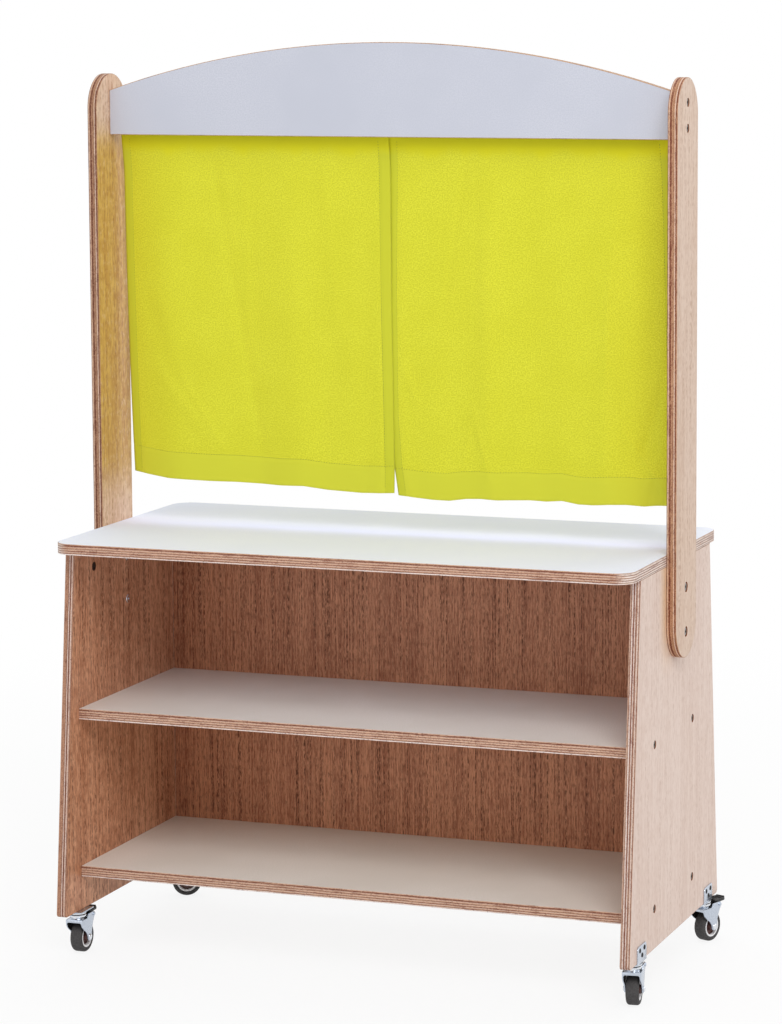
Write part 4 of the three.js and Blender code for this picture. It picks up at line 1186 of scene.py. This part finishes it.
def race_mesh():
    """The ball race: a cup on the crown and a cap under the bracket, with a dark ring between as painted
    shade in the gap
    """
    cup = [
        (0, 0), (0.0108, 0), (0.0112, 0.0012), (0.0136, 0.0048), (0.0144, 0.006),
        (0.0145, 0.0078), (0.0138, 0.0084), (0, 0.0084),
    ]
    gap = [(0, 0.008), (0.0126, 0.008), (0.0126, 0.0102), (0, 0.0102)]
    cap = [(0, 0.0098), (0.0138, 0.0098), (0.0144, 0.0102), (0.0145, 0.0117), (0.014, 0.0121), (0, 0.0121)]
    parts = [moved(lathe(profile, 48, "z"), 0, 0, CROWN_Z - 0.0005) for profile in (cup, gap, cap)]
    # The ring between cup and cap is painted shade of the gap
    for face in parts[1].faces:
        face.material_index = 1
    return mesh_of("race", parts, [CHROME, DARK_STEEL_AND_SHADE])


def tyre_mesh():
    side = [
        (0.0174, 0.008), (0.0182, 0.0096), (0.0192, TYRE_HALF - 0.0004), (0.02, TYRE_HALF),
        (0.0207, TYRE_HALF - 0.0005),
    ]
    side += arc((WHEEL_RADIUS - SHOULDER, TYRE_HALF - SHOULDER), SHOULDER, SHOULDER_ANGLE, 0, 8)
    return mesh_of("tyre", [lathe(both_sides(side), 96)], [RUBBER])


def ring_mesh():
    side = [(0.0146, 0.0085), (0.015, 0.0094), (0.0168, 0.0098), (0.0176, 0.0094)]
    return mesh_of("wheel_ring", [lathe(both_sides(side), 64)], [PALE_PLASTIC])


def web_mesh():
    side = [
        (0.0033, 0.012), (0.0064, 0.012), (0.007, 0.0115), (0.0073, 0.004), (0.0085, 0.0028),
        (0.0138, 0.0032), (0.015, 0.0055),
    ]
    return mesh_of("wheel_web", [lathe(both_sides(side), 56)], [BROWN_PLASTIC])


def axle_mesh():
    """Two domed bolts that meet in the wheel's middle"""
    profile = [
        (0, -LEG_OUT), (0.003, -LEG_OUT), (0.003, 0.0002), (0.0048, 0.0002), (0.0049, 0.0007),
        (0.0043, 0.0017), (0.0028, 0.0024), (0, 0.0026),
    ]
    bolts = [moved(lathe(profile, 28), side * LEG_OUT, 0, 0, side) for side in (-1, 1)]
    return mesh_of("axle", bolts, [CHROME])


def pedal_mesh():
    plan = rectangle((-PEDAL_HALF, PEDAL_START), (PEDAL_HALF, PEDAL_END), 0.002, 0.008, 8)
    parts = [prism(plan, "z", PEDAL_TOP - 0.0045, PEDAL_TOP, 0.0013, 3)]
    for y in RIBS:
        rib = rectangle((-RIB_HALF, y), (RIB_HALF, y + RIB_WIDTH), 0.0006, steps=3)
        parts.append(prism(rib, "z", PEDAL_TOP - 0.0005, PEDAL_TOP + 0.0006, 0.0003))
    lip = rounded([
        (-0.0095, PEDAL_END - 0.0026, 0.001), (0.0095, PEDAL_END - 0.0026, 0.001),
        (0.0075, PEDAL_END - 0.0004, 0.0009), (-0.0075, PEDAL_END - 0.0004, 0.0009),
    ], 4)
    parts.append(prism(lip, "z", PEDAL_TOP - 0.001, PEDAL_TOP + 0.0013, 0.0005))
    boss = lathe(both_sides([(0, 0.01), (0.0044, 0.01), (0.0046, 0.0096)]), 28)
    parts.append(moved(boss, 0, PIVOT_Y, PIVOT_Z))
    stem_low, stem_high = (PIVOT_Y - 0.0004, PIVOT_Z - 0.0122), (PIVOT_Y + 0.0044, PEDAL_TOP - 0.002)
    parts.append(prism(rectangle(stem_low, stem_high, 0.0012, 0, 4), "x", -0.0098, 0.0098, 0.0006))
    return mesh_of("pedal", parts, [BLACK_PLASTIC])


def bracket_mesh(side, end):
    """Plate on the outer face and flange under the panel, round the swivel's axis"""
    middle_y = -end * BRACKET_SHIFT
    start, stop = middle_y - BRACKET_HALF, middle_y + BRACKET_HALF
    inner = side * (OUTER_X - CASTER_X)
    top = FLANGE_Z + BRACKET_SHEET + PLATE_HEIGHT
    outline = rectangle((start, FLANGE_Z), (stop, top), 0.0012, 0.006, 8)
    plate = prism(outline, "x", *sorted((inner, inner + side * BRACKET_SHEET)), 0.0004)
    near, far = sorted((inner + side * (BRACKET_SHEET - 0.0001), -side * LEG_OUT))
    flange = prism(rectangle((near, start), (far, stop), 0.001, steps=3), "z", FLANGE_Z,
                   FLANGE_Z + BRACKET_SHEET, 0.0004)
    return mesh_of("bracket", [plate, flange], [ZINC])


def bracket_screw_mesh():
    """A countersunk screw's shallow dome with a cross recess, along +X"""
    bm = lathe([
        (0, -0.0008), (0.0036, -0.0008), (0.004, 0.0001), (0.0035, 0.0007), (0.002, 0.0011), (0, 0.0012),
    ], 28)
    mesh = mesh_of("bracket_screw", [bm], [DARK_STEEL_AND_SHADE])
    for wide, high in ((0.0023, 0.0006), (0.0006, 0.0023)):
        mesh = cut_mesh(mesh, prism(rectangle((-wide, -high), (wide, high)), "x", 0.0001, 0.003))
    return mesh


def casters():
    meshes = {
        "fork": (fork_mesh(), "swivel", "fork", "steel"),
        "race": (race_mesh(), "swivel", None, "steel"),
        "axle": (axle_mesh(), "swivel", "axle", "steel"),
        "tyre": (tyre_mesh(), "wheel", "tyre", "rubber"),
        "ring": (ring_mesh(), "wheel", "hub", "pale_plastic"),
        "web": (web_mesh(), "wheel", None, "black_plastic"),
        "pedal": (pedal_mesh(), "pedal", "pedal", "black_plastic"),
    }
    screw = bracket_screw_mesh()
    for name, heading in HEADINGS.items():
        end = -1 if "front" in name else 1
        side = -1 if "left" in name else 1
        place = Matrix.Translation((side * CASTER_X, end * CASTER_Y, 0))
        swivel = place @ Matrix.Rotation(-math.radians(heading), 4, "Z")
        wheel = swivel @ Matrix.Translation((0, TRAIL, WHEEL_RADIUS))
        for kind, (mesh, body, node, slot) in meshes.items():
            matrix = wheel if kind in ("axle", "tyre", "ring", "web") else swivel
            nodes = [f"{name}_caster_{node}"] if node else []
            link(f"{name}_{kind}", mesh, f"{name}_{body}", nodes, matrix)
        bracket = bracket_mesh(side, end)
        link(f"{name}_bracket", bracket, "stand", [f"{name}_caster_bracket"], place)
        for k, (y, rise) in enumerate(BRACKET_SCREWS, 1):
            spot = (side * (OUTER_X + BRACKET_SHEET), end * (CASTER_Y - BRACKET_SHIFT) + y,
                    FLANGE_Z + BRACKET_SHEET + rise)
            link(f"{name}_bracket_screw_{k}", screw, "stand", (), aim(side, *spot))


# Floor, lamps and world
FLOOR_HALF, FLOOR_TONE = 30, (240, 240, 240)
# The floor's own glow takes over from its lit surface: its shares at two distances from the middle
GLOW_DISTANCES, GLOW_SHARES = (0.7, 3.0), (0.86, 1.0)
# The world's strength for lit surfaces, where the camera sees 1
WORLD_STRENGTH = 0.62
# Each lamp's place, target, width and length, power in watts and tint
LAMPS = {
    "key": ((2.3, -3.7, 4.1), (0, 0, 1.0), (2.6, 2.6), 129, (1, 1, 1)),
    "fill": ((-1.8, -4.6, 1.0), (0, 0, 0.8), (2.6, 1.8), 13, (0.97, 0.985, 1)),
    "above": ((-0.4, 1.0, 3.9), (-0.1, 0, 0.7), (3.0, 2.4), 34, (0.95, 0.98, 1)),
    "side": ((4.4, 0.6, 1.5), (0.5, 0, 0.7), (2.4, 2.4), 4, (1, 1, 1)),
    "rear": ((3.4, 3.9, 1.8), (0.5, 0, 0.8), (1.6, 1.6), 18, (1, 1, 1)),
}


def stage():
    """The floor, which pales towards the horizon"""
    graph = Surface("floor", colour(FLOOR_TONE), 0.9)
    glow = graph.node("ShaderNodeEmission")
    glow.inputs["Strength"].default_value = 1.0
    place = graph.node("ShaderNodeTexCoord").outputs["Object"]
    distance = graph.node("ShaderNodeVectorMath", (place,), operation="LENGTH").outputs["Value"]
    share = graph.range(distance, *GLOW_DISTANCES, *GLOW_SHARES)
    graph.mix_in(graph.times(graph.seen_directly(), share), glow)
    mesh = bpy.data.meshes.new("floor")
    corners = [(x * FLOOR_HALF, y * FLOOR_HALF, 0) for x, y in ((-1, -1), (1, -1), (1, 1), (-1, 1))]
    mesh.from_pydata(corners, [], [(0, 1, 2, 3)])
    mesh.materials.append(graph.material)
    put("floor", mesh)


def lamp(name, place, target, size, power, tint):
    data = bpy.data.lights.new(name, "AREA")
    data.shape = "RECTANGLE"
    data.size, data.size_y = size
    data.energy = power
    data.color = tint
    light = put(name, data)
    light.location = place
    light.rotation_euler = (Vector(target) - Vector(place)).to_track_quat("-Z", "Y").to_euler()


def lights():
    for name, settings in LAMPS.items():
        lamp(name, *settings)
    world = bpy.data.worlds.new("world")
    bpy.context.scene.world = world
    world.use_nodes = True
    graph = Nodes(world.node_tree)
    background = graph.tree.nodes["Background"]
    background.inputs["Color"].default_value = (1, 1, 1, 1)
    strength = graph.range(graph.seen_directly(), 0, 1, WORLD_STRENGTH, 1)
    graph.feed(background.inputs["Strength"], strength)
    bpy.context.scene.view_settings.view_transform = "Standard"


make_camera()
for side_name, side_sign in SIDES:
    side_panel(side_name, side_sign)
    post(side_name, side_sign)
worktop()
flat_board("middle_shelf", "z", (SHELF_FACE, SHELF_FACE, SHELF_EDGE), MIDDLE_SHELF_SHIFT)
flat_board("lower_shelf", "z", (SHELF_FACE, SHELF_FACE, SHELF_EDGE), LOWER_SHELF_SHIFT)
flat_board("back_panel", "y", (SHADED_BACK_WOOD, SHADED_BACK_WOOD, SHELF_EDGE))
header()
rod()
for side_name, _ in SIDES:
    curtain(side_name)
fasteners()
casters()
stage()
lights()
